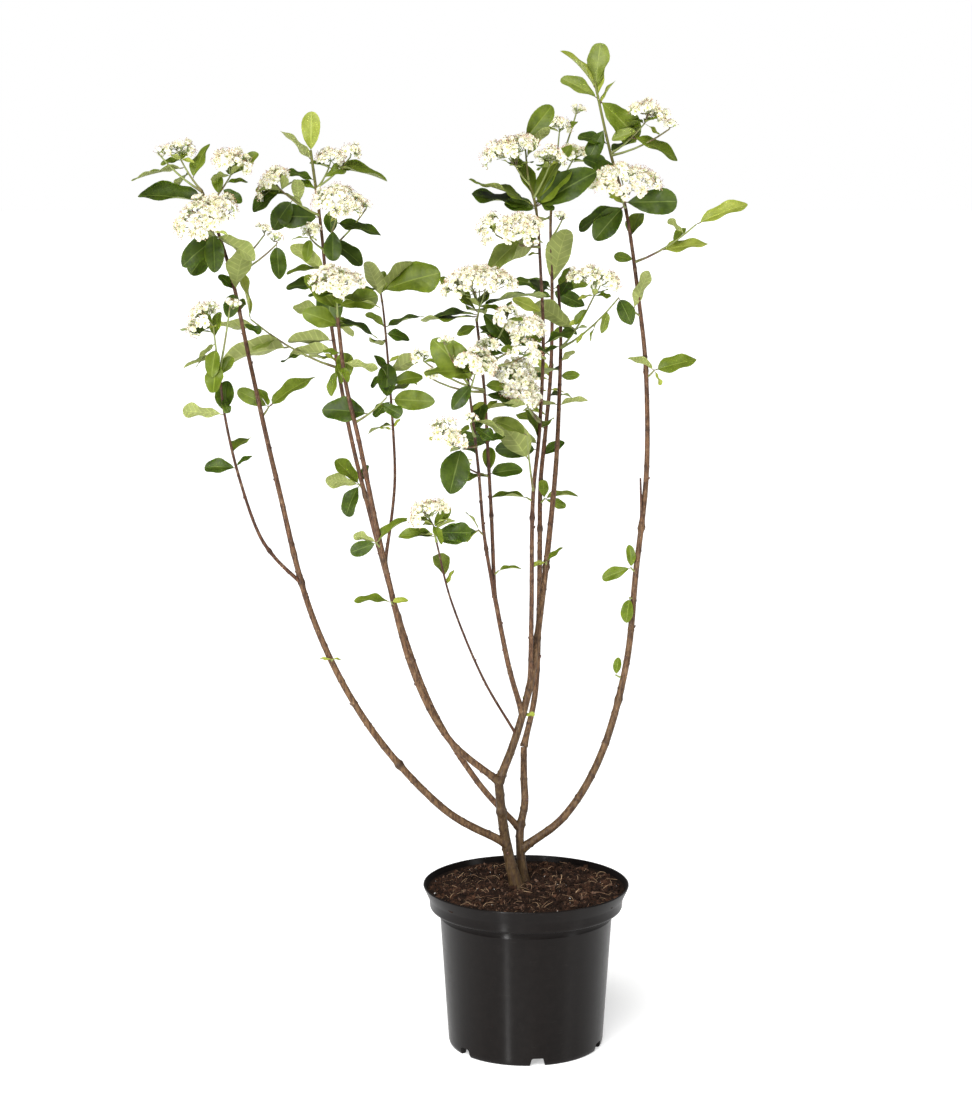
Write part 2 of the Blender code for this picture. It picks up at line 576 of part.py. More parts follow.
def cut_level(trunk):
    """Cut a trunk off flat, a gap above the compost."""
    shape = bmesh.new()
    bmesh.ops.create_cube(shape, size=100 * MM)
    mesh = bpy.data.meshes.new("level")
    shape.to_mesh(mesh)
    shape.free()
    cutter = as_cutter(add_object("level_cutter", mesh, CUTTERS))
    cutter.location = (0, 0, (SOIL_TOP + GAP - 50) * MM)
    boolean(trunk, "DIFFERENCE", cutter=cutter)
    apply_modifiers(trunk)
    remove_object(cutter)


def make_limbs(stems):
    """The bare limbs. Each stem's lowest piece is seated on the stem it grows from."""
    for name, parent, radii, splits, foliage_from, _route in STEMS:
        stem = stems[name]
        cuts = [None] + list(splits) + [foliage_from]
        for index, (bottom, top) in enumerate(zip(cuts, cuts[1:])):
            title = name if parent is None else f"bough_{name}"
            if splits:
                title += ("_lower", "_upper")[index]
            points, widths = stem.piece(bottom, top)
            limb = tube(title, points, widths, sides_for(max(widths)), PLANT)
            limb.data.materials.append(BARK)
            if parent is None:
                cut_level(limb)
            if index == 0:
                for other in neighbours(name, parent):
                    cut_clear_of(limb, stems[other], title)


def neighbours(name, parent):
    """Stems that a stem's foot has to stay clear of: its parent, and siblings beside it."""
    close = [parent] if parent else []
    if name == "trunk_rear":
        close.append("trunk_front")
    if name == "left":
        close.append("right_centre")
    if name == "front_right":
        close.append("front_left")
    if name == "right":
        close.append("trunk_front")
    return close


# Foliage

def heading(bearing, lift):
    flat = math.cos(math.radians(lift))
    return Vector((flat * math.cos(math.radians(bearing)),
                   flat * math.sin(math.radians(bearing)), math.sin(math.radians(lift))))


def leaf_frame(bearing, lift, face):
    """Axes of a leaf: along the midrib, across the blade, out of its upper side."""
    along = heading(bearing, lift)
    across = Vector((-math.sin(math.radians(bearing)), math.cos(math.radians(bearing)), 0))
    upper = along.cross(across)
    roll = math.radians(math.copysign(1, math.cos(math.radians(bearing))) * face)
    return along, across * math.cos(roll) + upper * math.sin(roll), \
        upper * math.cos(roll) - across * math.sin(roll)


def leaf_mesh(foot, leaf, grow=0.0):
    """Six-sided blade with a raised middle, whose pointed foot is sunk in its twig."""
    bearing, lift, length, face, width, droop = leaf
    along, across, upper = leaf_frame(bearing, lift, face)
    shape = bmesh.new()
    bmesh.ops.create_cone(shape, cap_ends=True, segments=6, radius1=1, radius2=0, depth=1)
    bmesh.ops.remove_doubles(shape, verts=shape.verts, dist=0.001)
    bmesh.ops.triangulate(shape, faces=[f for f in shape.faces if len(f.verts) > 3])
    start = foot - along * LEAF_SINK
    for vert in shape.verts:
        reach, half = LEAF_OUTLINE[round(vert.co.y * 2)]
        side = math.copysign(half, vert.co.x) * width * length
        side += math.copysign(grow, side) if half else 0.0
        fall = droop * length
        height = LEAF_THICK + grow + fall * LEAF_CROWN
        rise = (vert.co.z + 0.5) * height - grow - fall * reach ** 2
        vert.co = (start + along * (reach * (length + LEAF_SINK)) + across * side
                   + upper * rise) * MM
    bmesh.ops.recalc_face_normals(shape, faces=shape.faces)
    mesh = bpy.data.meshes.new("leaf")
    shape.to_mesh(mesh)
    shape.free()
    return mesh


def cone_mesh(low, high, low_radius, high_radius, segments):
    """A cone between two points."""
    shape = bmesh.new()
    axis = high - low
    bmesh.ops.create_cone(shape, cap_ends=True, segments=segments, radius1=low_radius * MM,
                          radius2=high_radius * MM, depth=axis.length * MM)
    turn = axis.to_track_quat("Z", "Y").to_matrix().to_4x4()
    place = Matrix.Translation((low + high) / 2 * MM) @ turn
    bmesh.ops.transform(shape, matrix=place, verts=shape.verts)
    mesh = bpy.data.meshes.new("cone")
    shape.to_mesh(mesh)
    shape.free()
    return mesh


def knot_mesh(foot):
    """The knot that a flower head's stalks leave."""
    shape = bmesh.new()
    place = Matrix.Translation(foot * MM)
    bmesh.ops.create_uvsphere(shape, u_segments=4, v_segments=2, radius=KNOT_RADIUS * MM,
                              matrix=place)
    mesh = bpy.data.meshes.new("knot")
    shape.to_mesh(mesh)
    shape.free()
    return mesh


def head_tilt(bearing, lean):
    """Rotation that tips a flower head from upright towards a bearing."""
    turn = math.radians(bearing)
    return Matrix.Rotation(math.radians(lean), 3, Vector((-math.sin(turn), math.cos(turn), 0)))


def cluster_places(foot, width, tilt, rng):
    """Middles of the flower clusters of one head, spread by the golden angle on a dome."""
    count = max(1, round((width / CLUSTER_WIDTH) ** 2 * CLUSTER_FILL))
    spread = max(0.0, (width - CLUSTER_WIDTH) / 2)
    turn = rng.uniform(0, 360)
    places = []
    for i in range(count):
        out = spread * math.sqrt((i + 0.5) / count) * SPREAD if count > 1 else 0.0
        angle = math.radians(turn + GOLDEN_ANGLE * i)
        rise = HEAD_RISE * width + DOME * width * (1 - (2 * out / width) ** 2)
        rise += rng.uniform(-RUGGED, RUGGED)
        places.append(foot + tilt @ Vector((out * math.cos(angle), out * math.sin(angle), rise)))
    return places


def bvh(mesh):
    points = [vert.co.copy() for vert in mesh.vertices]
    return BVHTree.FromPolygons(points, [tuple(p.vertices) for p in mesh.polygons])


class Mass:
    """Pieces of one foliage node, gathered before they are joined."""

    def __init__(self, name, seed, stem_object, obstacles):
        self.name = name
        self.rng = random.Random(seed)
        self.stem_object = stem_object
        self.obstacles = obstacles
        self.trees = [bvh(stem_object.data)]
        self.skipped = 0

    def is_clear(self, mesh, own=False):
        """Whether a mesh is clear of the other nodes, or of this node's own pieces."""
        tree = bvh(mesh)
        bpy.data.meshes.remove(mesh)
        others = self.trees if own else self.obstacles
        return not any(tree.overlap(other) for other in others)

    def add(self, mesh):
        add_object(f"{self.name}_piece", mesh, PIECES)
        self.trees.append(bvh(mesh))

    def add_leaf(self, foot, bearing, lift, length, face):
        """Add a leaf, swung aside where it would touch another node or cross its own.

        The test of its own node leaves out the leaf's first part, which has to meet
        its twig. A leaf that can't clear its own node may cross it, but one that can't
        clear another node is skipped.
        """
        width = self.rng.uniform(*LEAF_WIDTH)
        droop = self.rng.uniform(*LEAF_DROOP)
        free = []
        for swing in SWING:
            leaf = (bearing + swing, lift, length, face, width, droop)
            if not self.is_clear(leaf_mesh(foot, leaf, grow=TOUCH)):
                continue
            free.append(leaf)
            root = foot + heading(bearing + swing, lift) * LEAF_FREE_FROM
            tip = (leaf[0], lift, length - LEAF_FREE_FROM, face, width, droop)
            if self.is_clear(leaf_mesh(root, tip), own=True):
                self.add(leaf_mesh(foot, leaf))
                return
        if free:
            self.add(leaf_mesh(foot, free[0]))
        else:
            self.skipped += 1
            print(f"skipped leaf {bearing, lift, length, face} of {self.name}")

    def add_head(self, foot, width, bearing, lean):
        """A flower head: flat-topped clusters on stalks that leave one point."""
        tilt = head_tilt(bearing, lean)
        half_depth = tilt @ Vector((0, 0, CLUSTER_DEPTH / 2))
        across = min(width, CLUSTER_WIDTH) / 2
        if width > CLUSTER_WIDTH:
            self.add(knot_mesh(foot))
        for place in cluster_places(foot, width, tilt, self.rng):
            cluster = (place - half_depth, place + half_depth, across * CLUSTER_FOOT, across, 5)
            if not self.is_clear(cone_mesh(*cluster)):
                self.skipped += 1
                print(f"skipped cluster of {self.name} at {tuple(round(c) for c in place)}")
                continue
            self.add(cone_mesh(*cluster))
            self.add(cone_mesh(foot, place, STALK_RADIUS * 0.6, STALK_RADIUS, 3))

    def add_twig(self, start, reach, head, leaves):
        """A straight twig, its leaves along it and a flower head at its end."""
        end = start + Vector(reach)
        self.add(cone_mesh(start, end, *TWIG_RADIUS, 3))
        if head:
            self.add_head(end, *head)
        for index, leaf in enumerate(leaves):
            t = LEAVES_FROM + (1 - LEAVES_FROM) * (index + 1) / len(leaves)
            self.add_leaf(start.lerp(end, t) - Vector((0, 0, TWIG_SINK)), *leaf)

    def add_spiral(self, stem, bottom, top):
        """Leaves behind the stem, at the buds of its spiral that face that way."""
        bearing = self.rng.uniform(0, 360)
        height = bottom + SPIRAL_STEP
        while height < top - SPIRAL_STOP:
            bearing = (bearing + GOLDEN_ANGLE) % 360
            lift = self.rng.uniform(*SPIRAL_LIFT)
            length = self.rng.uniform(*SPIRAL_LENGTH)
            if REAR_SECTOR[0] < bearing < REAR_SECTOR[1]:
                self.add_leaf(stem.at(height)[0], bearing, lift, length, 0)
            height += SPIRAL_STEP

    def join(self):
        """One union of the stem and all pieces, with loose scraps dropped."""
        node = self.stem_object
        boolean(node, "UNION", collection=PIECES)
        apply_modifiers(node)
        for piece in list(PIECES.objects):
            remove_object(piece)
        keep_largest(node)
        node.data.materials.clear()
        node.data.materials.append(LEAF_GREEN)
        for polygon in node.data.polygons:
            polygon.material_index = 0
        return self.trees


def keep_largest(obj):
    """Drop every loose shell but the largest, which also fills sealed hollows."""
    shape = bmesh.new()
    shape.from_mesh(obj.data)
    bmesh.ops.triangulate(shape, faces=shape.faces)
    groups = []
    seen = set()
    for face in shape.faces:
        if face in seen:
            continue
        group, queue = [], [face]
        seen.add(face)
        while queue:
            current = queue.pop()
            group.append(current)
            for edge in current.edges:
                for linked in edge.link_faces:
                    if linked not in seen:
                        seen.add(linked)
                        queue.append(linked)
        groups.append(group)
    groups.sort(key=len, reverse=True)
    loose = [face for group in groups[1:] for face in group]
    bmesh.ops.delete(shape, geom=loose, context="FACES")
    shape.to_mesh(obj.data)
    shape.free()


def limb_trees():
    return {obj.name: [bvh(obj.data)] for obj in PLANT.objects}


def grow_foliage(stems):
    """Sprigs and masses, each kept clear of the limbs and of the nodes grown before it."""
    grown = limb_trees()
    for name, stem_name, seed, height, reach, leaves in SPRIGS:
        start = stems[stem_name].at(height)[0]
        end = start + Vector(reach)
        twig = tube(f"sprig_{name}", (start, end), TWIG_RADIUS, 4, PLANT)
        cut_clear_of(twig, stems[stem_name], f"sprig_{name}")
        obstacles = [tree for trees in grown.values() for tree in trees]
        mass = Mass(name, seed, twig, obstacles)
        for leaf in leaves:
            mass.add_leaf(end - (end - start).normalized() * SPRIG_SINK, *leaf)
        grown[f"sprig_{name}"] = mass.join()
        report(mass)
    for name, seed, twigs, leaves in FOLIAGE:
        stem = stems[name]
        bottom = next(row[4] for row in STEMS if row[0] == name)
        points, radii = stem.piece(bottom, None)
        trunk = tube(f"foliage_{name}", points, radii, 4, PLANT)
        obstacles = [tree for trees in grown.values() for tree in trees]
        mass = Mass(name, seed, trunk, obstacles)
        for height, reach, head, twig_leaves in twigs:
            mass.add_twig(stem.at(height)[0], reach, head, twig_leaves)
        for height, *leaf in leaves:
            mass.add_leaf(stem.at(height)[0], *leaf)
        mass.add_spiral(stem, bottom, stem.curve[-1].z)
        grown[f"foliage_{name}"] = mass.join()
        report(mass)


def report(mass):
    count = len(mass.stem_object.data.polygons)
    print(f"{mass.stem_object.name}: {count} triangles, {mass.skipped} pieces skipped")


make_pot()
make_soil()
ALL_STEMS = {name: Stem(route, radii, parent is None)
             for name, parent, radii, _splits, _foliage, route in STEMS}
make_limbs(ALL_STEMS)
grow_foliage(ALL_STEMS)
bpy.data.collections.remove(PIECES)
print("triangles:", sum(len(p.vertices) - 2 for o in PLANT.objects for p in o.data.polygons))
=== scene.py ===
import math
import random

import bmesh
import bpy
from mathutils import Matrix, Quaternion, Vector, noise


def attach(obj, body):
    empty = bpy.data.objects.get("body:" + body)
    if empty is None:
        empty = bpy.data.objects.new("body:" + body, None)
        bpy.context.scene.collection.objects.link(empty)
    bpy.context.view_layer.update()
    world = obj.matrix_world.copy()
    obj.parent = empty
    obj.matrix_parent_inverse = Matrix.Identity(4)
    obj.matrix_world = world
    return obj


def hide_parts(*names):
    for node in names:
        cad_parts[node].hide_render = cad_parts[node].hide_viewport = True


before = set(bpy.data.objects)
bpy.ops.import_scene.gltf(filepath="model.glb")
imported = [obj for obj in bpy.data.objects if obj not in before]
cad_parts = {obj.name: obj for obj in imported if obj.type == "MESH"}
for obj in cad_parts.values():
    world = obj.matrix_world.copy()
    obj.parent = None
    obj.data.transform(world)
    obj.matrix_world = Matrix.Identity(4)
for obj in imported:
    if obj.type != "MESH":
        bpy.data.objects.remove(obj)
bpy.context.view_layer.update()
MM = 0.001
BODY = "root"


# The pot is a thin moulded shell of black plastic, with a rolled lip, a deep band and a
# foot ring that six notches pass through. It is turned in one go and then cut. Its satin
# skin has faint flow marks, fine scuffs and a film of dust.

class Socket:
    """A node's output. Arithmetic on it adds Math nodes."""

    def __init__(self, build, socket):
        self.build = build
        self.socket = socket

    def maths(self, operation, first, second):
        return self.build.node("ShaderNodeMath", {"operation": operation}, {0: first, 1: second})

    def __add__(self, other):
        return self.maths("ADD", self, other)

    def __sub__(self, other):
        return self.maths("SUBTRACT", self, other)

    def __rsub__(self, other):
        return self.maths("SUBTRACT", other, self)

    def __mul__(self, other):
        return self.maths("MULTIPLY", self, other)

    def __truediv__(self, other):
        return self.maths("DIVIDE", self, other)

    def __pow__(self, other):
        return self.maths("POWER", self, other)

    def above(self, other):
        return self.maths("MAXIMUM", self, other)

    def rise(self, low, high):
        """A mask that goes from 0 to 1 between two levels."""
        return self.build.node("ShaderNodeMapRange", {"interpolation_type": "SMOOTHSTEP"},
                               {0: self, 1: low, 2: high})

    __radd__ = __add__
    __rmul__ = __mul__


class Build:
    """A node tree, with one method that adds any node and joins up its inputs."""

    def __init__(self, tree):
        self.tree = tree

    def node(self, kind, settings=None, inputs=None, output=0):
        node = self.tree.nodes.new(kind)
        for key, value in (settings or {}).items():
            if key == "stops":
                while len(node.color_ramp.elements) < len(value):
                    node.color_ramp.elements.new(0.5)
                for stop, (place, colour) in zip(node.color_ramp.elements, value):
                    stop.position = place
                    stop.color = (*colour, 1)
            else:
                setattr(node, key, value)
        for key, value in (inputs or {}).items():
            if isinstance(value, Socket):
                self.tree.links.new(value.socket, node.inputs[key])
            else:
                node.inputs[key].default_value = value
        return Socket(self, node.outputs[output])


class Finish(Build):
    """A material: a Principled shader with plain values, and patterns that feed it."""

    def __init__(self, name, colour, roughness, **plain):
        self.material = bpy.data.materials.new(name)
        self.material.use_nodes = True
        super().__init__(self.material.node_tree)
        self.shader = self.tree.nodes["Principled BSDF"]
        self.shader.inputs["Base Color"].default_value = (*colour, 1)
        self.shader.inputs["Roughness"].default_value = roughness
        for key, value in plain.items():
            self.shader.inputs[key.replace("_", " ")].default_value = value

    def grain(self, scale, detail=3.0, rough=0.55, stretch=(1, 1, 1)):
        spot = self.node("ShaderNodeTexCoord", output="Object")
        spot = self.node("ShaderNodeVectorMath", {"operation": "MULTIPLY"}, {0: spot, 1: stretch})
        return self.node("ShaderNodeTexNoise", {}, {
            "Vector": spot, "Scale": scale, "Detail": detail, "Roughness": rough})

    def ramp(self, level, stops):
        return self.node("ShaderNodeValToRGB", {"stops": stops}, {0: level})

    def blend(self, share, first, second):
        return self.node("ShaderNodeMix", {"data_type": "RGBA"},
                         {0: share, 6: first, 7: second}, output=2)

    def feed(self, **patterns):
        for key, value in patterns.items():
            self.tree.links.new(value.socket, self.shader.inputs[key.replace("_", " ")])
        return self

    def bump(self, height, strength, depth):
        return self.feed(Normal=self.node("ShaderNodeBump", {}, {
            "Height": height, "Strength": strength, "Distance": depth}))


def show(name, mesh, materials=()):
    """A finished object at the origin."""
    obj = bpy.data.objects.new(name, mesh)
    bpy.context.scene.collection.objects.link(obj)
    for material in materials:
        mesh.materials.append(material)
    return obj


def settled(obj, name, sharp=None):
    """The object's mesh with its modifiers worked out, as a plain object."""
    bpy.context.view_layer.update()
    graph = bpy.context.evaluated_depsgraph_get()
    mesh = bpy.data.meshes.new_from_object(obj.evaluated_get(graph))
    if sharp:
        mesh.shade_smooth()
        mesh.set_sharp_from_angle(angle=math.radians(sharp))
    bpy.data.objects.remove(obj, do_unlink=True)
    return show(name, mesh)


def turned(name, profile, steps):
    """A closed body turned round the Z axis from (radius, height) in millimetres."""
    mesh = bpy.data.meshes.new(name)
    points = [(radius * MM, 0, height * MM) for radius, height in profile]
    mesh.from_pydata(points, [(i, i + 1) for i in range(len(points) - 1)], [])
    obj = show(name, mesh)
    screw = obj.modifiers.new("Turn", "SCREW")
    screw.steps = screw.render_steps = steps
    screw.use_merge_vertices = True
    screw.merge_threshold = 0.00001
    return obj


def arc(middle, radius, start, end, count):
    """Points of a rounded corner in a profile."""
    turns = [math.radians(start + (end - start) * i / count) for i in range(count + 1)]
    return [(middle[0] + radius * math.cos(t), middle[1] + radius * math.sin(t)) for t in turns]


POT_INSIDE = [(0, 11), (80, 11), (81.8, 11.6), (82.8, 12.6), (84.0, 14)]
POT_INSIDE += [(93.6, 152.6), (94.3, 154.4), (96.4, 155.6), (101.6, 156.2)]
POT_INSIDE += arc((101.4, 159.4), 3.2, -80, 0, 4) + [(105.2, 166.4), (110.6, 178.0)]
POT_LIP = arc((112.1, 180.0), 1.0, 170, -30, 8) + [(112.4, 178.2)]
POT_OUTSIDE = [(111.8, 176.6), (107.6, 167.4), (106.6, 165.2)]
POT_OUTSIDE += arc((102.5, 157.9), 3.6, 0, -90, 5) + [(97.4, 154.1)]
POT_OUTSIDE += [(95.8, 153.2), (95.3, 151.8), (94.9, 146.4), (95.2, 145.8), (95.1, 144.8)]
POT_OUTSIDE += [(94.6, 144.0), (85.6, 6.4), (85.3, 4.0), (84.4, 1.4), (83.0, 0.2)]
POT_FOOT = [(82, 0), (78.6, 0), (77.8, 0.8), (77, 8.6), (76.4, 9), (30.4, 9), (29.8, 8.6)]
POT_FOOT += [(28.6, 0.4), (28, 0), (0, 0)]
POT_TURNS = 180
NOTCHES = 6
NOTCH_ANGLE = 8                # first notch, in degrees to the right of the front
NOTCH_CIRCLE = 83.5
NOTCH_WIDTHS = (19, 13)        # at the ground and at the top
NOTCH_TOP = 9
NOTCH_DEPTH = 24
DRAIN_CIRCLE = 54
DRAIN_RADIUS = 6


def pot_cutter(name, shape_of, place, angle):
    shape = bmesh.new()
    shape_of(shape)
    mesh = bpy.data.meshes.new(name)
    shape.to_mesh(mesh)
    shape.free()
    mesh.transform(Matrix.Translation(place) @ Matrix.Rotation(angle, 4, "Z"))
    return show(name, mesh)


def notch_shape(shape):
    """A block with leaning sides and rounded upper corners."""
    low, high = (width / 2 * MM for width in NOTCH_WIDTHS)
    half, top, below = NOTCH_DEPTH / 2 * MM, NOTCH_TOP * MM, -NOTCH_TOP / 2 * MM
    spots = [(-half, -low, below), (-half, low, below), (-half, high, top), (-half, -high, top)]
    back = [shape.verts.new(spot) for spot in spots]
    front = [shape.verts.new((-x, y, z)) for x, y, z in spots]
    shape.faces.new(back[::-1])
    shape.faces.new(front)
    for i in range(4):
        j = (i + 1) % 4
        shape.faces.new((back[i], back[j], front[j], front[i]))
    upper = [edge for edge in shape.edges if edge.verts[0].co.z > 0 and edge.verts[1].co.z > 0
             and edge.verts[0].co.y == edge.verts[1].co.y]
    bmesh.ops.bevel(shape, geom=upper, offset=2 * MM, segments=4, profile=0.5, affect="EDGES")
    bmesh.ops.recalc_face_normals(shape, faces=shape.faces)


def drain_shape(shape):
    bmesh.ops.create_cone(shape, cap_ends=True, segments=32, radius1=DRAIN_RADIUS * MM,
                          radius2=DRAIN_RADIUS * MM, depth=20 * MM)


def cut_pot():
    pot = turned("pot_blank", POT_INSIDE + POT_LIP + POT_OUTSIDE + POT_FOOT, POT_TURNS)
    pot = settled(pot, "pot_blank")
    cutters = []
    for i in range(NOTCHES):
        angle = math.radians(360 / NOTCHES * i + NOTCH_ANGLE - 90)
        ray = Vector((math.cos(angle), math.sin(angle), 0))
        cutters.append(pot_cutter("notch", notch_shape, ray * NOTCH_CIRCLE * MM, angle))
        angle += math.radians(180 / NOTCHES)
        ray = Vector((math.cos(angle), math.sin(angle), 0))
        place = ray * DRAIN_CIRCLE * MM + Vector((0, 0, 10 * MM))
        cutters.append(pot_cutter("drain", drain_shape, place, angle))
    for cutter in cutters:
        cut = pot.modifiers.new("Cut", "BOOLEAN")
        cut.operation = "DIFFERENCE"
        cut.solver = "EXACT"
        cut.object = cutter
    pot = settled(pot, "pot_shell", sharp=32)
    for cutter in cutters:
        bpy.data.objects.remove(cutter, do_unlink=True)
    return pot


black = Finish("Pot black plastic", (0.005, 0.0045, 0.0045), 0.3, Specular_IOR_Level=0.12,
               Anisotropic=1.0, Anisotropic_Rotation=0.25)
flow = black.grain(24, 4, 0.6, (1, 1, 0.10))
dust = black.grain(110, 5, 0.7)
scuffs = black.grain(55, 6, 0.75, (1, 1, 9)).rise(0.60, 0.74)
film = (flow * 0.5 + dust * 0.5) ** 2.0
skin = black.ramp(film, [(0.05, (0.0026, 0.0018, 0.0016)), (0.45, (0.0080, 0.0063, 0.0057))])
black.feed(Base_Color=black.blend(scuffs * 0.3, skin, (0.05, 0.047, 0.044, 1)),
           Roughness=0.26 + film * 0.25 + scuffs * 0.15)
black.bump(flow * 0.6 + black.grain(700, 2, 0.5) * 0.4, 0.2, 0.0004)

pot = cut_pot()
pot.data.materials.append(black.material)
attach(pot, BODY)
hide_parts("pot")


# The compost is dark damp peat, filled to just under the rim. Its surface is one relief
# of clods and hollows, with crumbs, bark chips, pale root fibres and a few white grains
# strewn on it by a node tree.

SOIL_TOP = 177
SOIL_EDGE = 108.9
SOIL_SIDE = [(108.6, 175.0), (104.9, 166.4), (104.2, 159.4), (101.2, 156.7), (96.2, 156.0)]
SOIL_SIDE += [(93.4, 153.4), (83.8, 14.2), (81.4, 11.4), (0, 11.4)]
SOIL_RINGS = 84
SOIL_TURNS = 300


def soil_relief(x, y):
    """Height of the surface above its mean level, in millimetres."""
    spot = Vector((x, y, 0)) / MM
    heaps = noise.noise(spot / 34) * 3.2
    clods = noise.turbulence(spot / 11, 3, False) * 4.2
    crumbs = noise.noise(spot / 3.1) * 1.5 + noise.noise(spot / 1.5) * 0.7
    edge = max(0.0, (math.hypot(x, y) / MM - 90) / 16)
    return heaps + clods + crumbs - 3.0 - edge ** 2 * 1.2


def make_soil():
    radii = [SOIL_EDGE * (i / SOIL_RINGS) ** 0.8 for i in range(SOIL_RINGS + 1)]
    top = [(radius, SOIL_TOP) for radius in radii]
    soil = settled(turned("soil_blank", top + SOIL_SIDE, SOIL_TURNS), "compost_surface")
    for vert in soil.data.vertices:
        if vert.co.z > (SOIL_TOP - 0.5) * MM:
            vert.co.z += soil_relief(vert.co.x, vert.co.y) * MM
    soil.data.shade_smooth()
    return soil


def tree_of(name, sockets):
    """A geometry node tree with named inputs; returns its builder and the inputs."""
    tree = bpy.data.node_groups.new(name, "GeometryNodeTree")
    build = Build(tree)
    tree.interface.new_socket("Geometry", in_out="INPUT", socket_type="NodeSocketGeometry")
    for title, kind in sockets:
        tree.interface.new_socket(title, in_out="INPUT", socket_type=f"NodeSocket{kind}")
    tree.interface.new_socket("Geometry", in_out="OUTPUT", socket_type="NodeSocketGeometry")
    entry = tree.nodes.new("NodeGroupInput")
    return build, {socket.name: Socket(build, socket) for socket in entry.outputs if socket.name}


def close_tree(build, result):
    last = build.tree.nodes.new("NodeGroupOutput")
    build.tree.links.new(result.socket, last.inputs[0])
    return build.tree


def grown(start, tree, name, **inputs):
    """What a node tree makes of an object, as a plain mesh object; the start is removed."""
    modifier = start.modifiers.new("Grow", "NODES")
    modifier.node_group = tree
    for item in tree.interface.items_tree:
        if item.in_out == "INPUT" and item.name in inputs:
            modifier[item.identifier] = inputs[item.name]
    return settled(start, name)


def hidden_set(name, shapes):
    """A collection of shapes for a node tree to pick from, out of the scene itself."""
    group = bpy.data.collections.new(name)
    for shape in shapes:
        group.objects.link(shape)
    return group


def shape_object(name, shape, sharp=None):
    """A shape for such a collection: flat faces, or smooth ones with sharp edges kept."""
    mesh = bpy.data.meshes.new(name)
    shape.to_mesh(mesh)
    shape.free()
    if sharp:
        mesh.shade_smooth()
        mesh.set_sharp_from_angle(angle=math.radians(sharp))
    return bpy.data.objects.new(name, mesh)


def crumb_shape(name, seed, stretch):
    """A rough lump a millimetre across."""
    shape = bmesh.new()
    bmesh.ops.create_icosphere(shape, subdivisions=1, radius=0.5 * MM)
    for vert in shape.verts:
        push = 1 + 0.7 * noise.noise(vert.co / MM * 2.4 + Vector((seed, 0, 0)))
        vert.co = Vector([c * s for c, s in zip(vert.co * push, stretch)])
    return shape_object(name, shape)


def fibre_shape(name, seed):
    """A thin bent root fibre about a centimetre long."""
    draw = random.Random(seed)
    shape = bmesh.new()
    rings = []
    bend = Vector((draw.uniform(-3, 3), draw.uniform(-3, 3), draw.uniform(0.5, 3)))
    for i in range(7):
        t = i / 6
        middle = Vector((t * 11 - 5.5, 0, 0.3)) + bend * math.sin(math.pi * t) * draw.uniform(0.7, 1)
        ring = []
        for k in range(3):
            turn = math.tau * k / 3
            side = Vector((0, math.cos(turn), math.sin(turn))) * 0.19
            ring.append(shape.verts.new((middle + side) * MM))
        rings.append(ring)
    for low, high in zip(rings, rings[1:]):
        for k in range(3):
            shape.faces.new((low[k], low[(k + 1) % 3], high[(k + 1) % 3], high[k]))
    shape.faces.new(rings[0][::-1])
    shape.faces.new(rings[-1])
    bmesh.ops.recalc_face_normals(shape, faces=shape.faces)
    return shape_object(name, shape, sharp=80)


def strewing_tree():
    """Shapes picked, turned and scaled at random, on the upper faces inside a circle."""
    build, given = tree_of("Strewing", [("Shapes", "Collection"), ("Density", "Float"),
                                        ("Smallest", "Float"), ("Largest", "Float"),
                                        ("Tilt", "Float"), ("Seed", "Int"),
                                        ("Reach", "Float"), ("Material", "Material")])
    facing = build.node("ShaderNodeSeparateXYZ", {}, {0: build.node("GeometryNodeInputNormal")}, 2)
    flat = build.node("ShaderNodeVectorMath", {"operation": "MULTIPLY"}, {
        0: build.node("GeometryNodeInputPosition"), 1: (1, 1, 0)})
    out = build.node("ShaderNodeVectorMath", {"operation": "LENGTH"}, {0: flat}, output=1)
    inside = build.node("FunctionNodeCompare", {}, {0: given["Reach"], 1: out})
    points = build.node("GeometryNodeDistributePointsOnFaces", {}, {
        "Mesh": given["Geometry"], "Selection": facing.rise(0.3, 0.4) * inside,
        "Density": given["Density"], "Seed": given["Seed"]})
    corner = build.node("ShaderNodeCombineXYZ", {}, {0: given["Tilt"], 1: given["Tilt"],
                                                     2: math.tau})
    turn = build.node("FunctionNodeRandomValue", {"data_type": "FLOAT_VECTOR"}, {
        0: (0, 0, 0), 1: corner, "Seed": 1})
    share = build.node("FunctionNodeRandomValue", {}, {2: 0.0, 3: 1.0, "Seed": 2}, output=1)
    size = given["Smallest"] + (given["Largest"] - given["Smallest"]) * share ** 3.0
    picks = build.node("GeometryNodeCollectionInfo", {}, {
        "Collection": given["Shapes"], "Separate Children": True, "Reset Children": True})
    placed = build.node("GeometryNodeInstanceOnPoints", {}, {
        "Points": points, "Instance": picks, "Pick Instance": True, "Rotation": turn,
        "Scale": size})
    real = build.node("GeometryNodeRealizeInstances", {}, {0: placed})
    return close_tree(build, build.node("GeometryNodeSetMaterial", {}, {
        "Geometry": real, "Material": given["Material"]}))


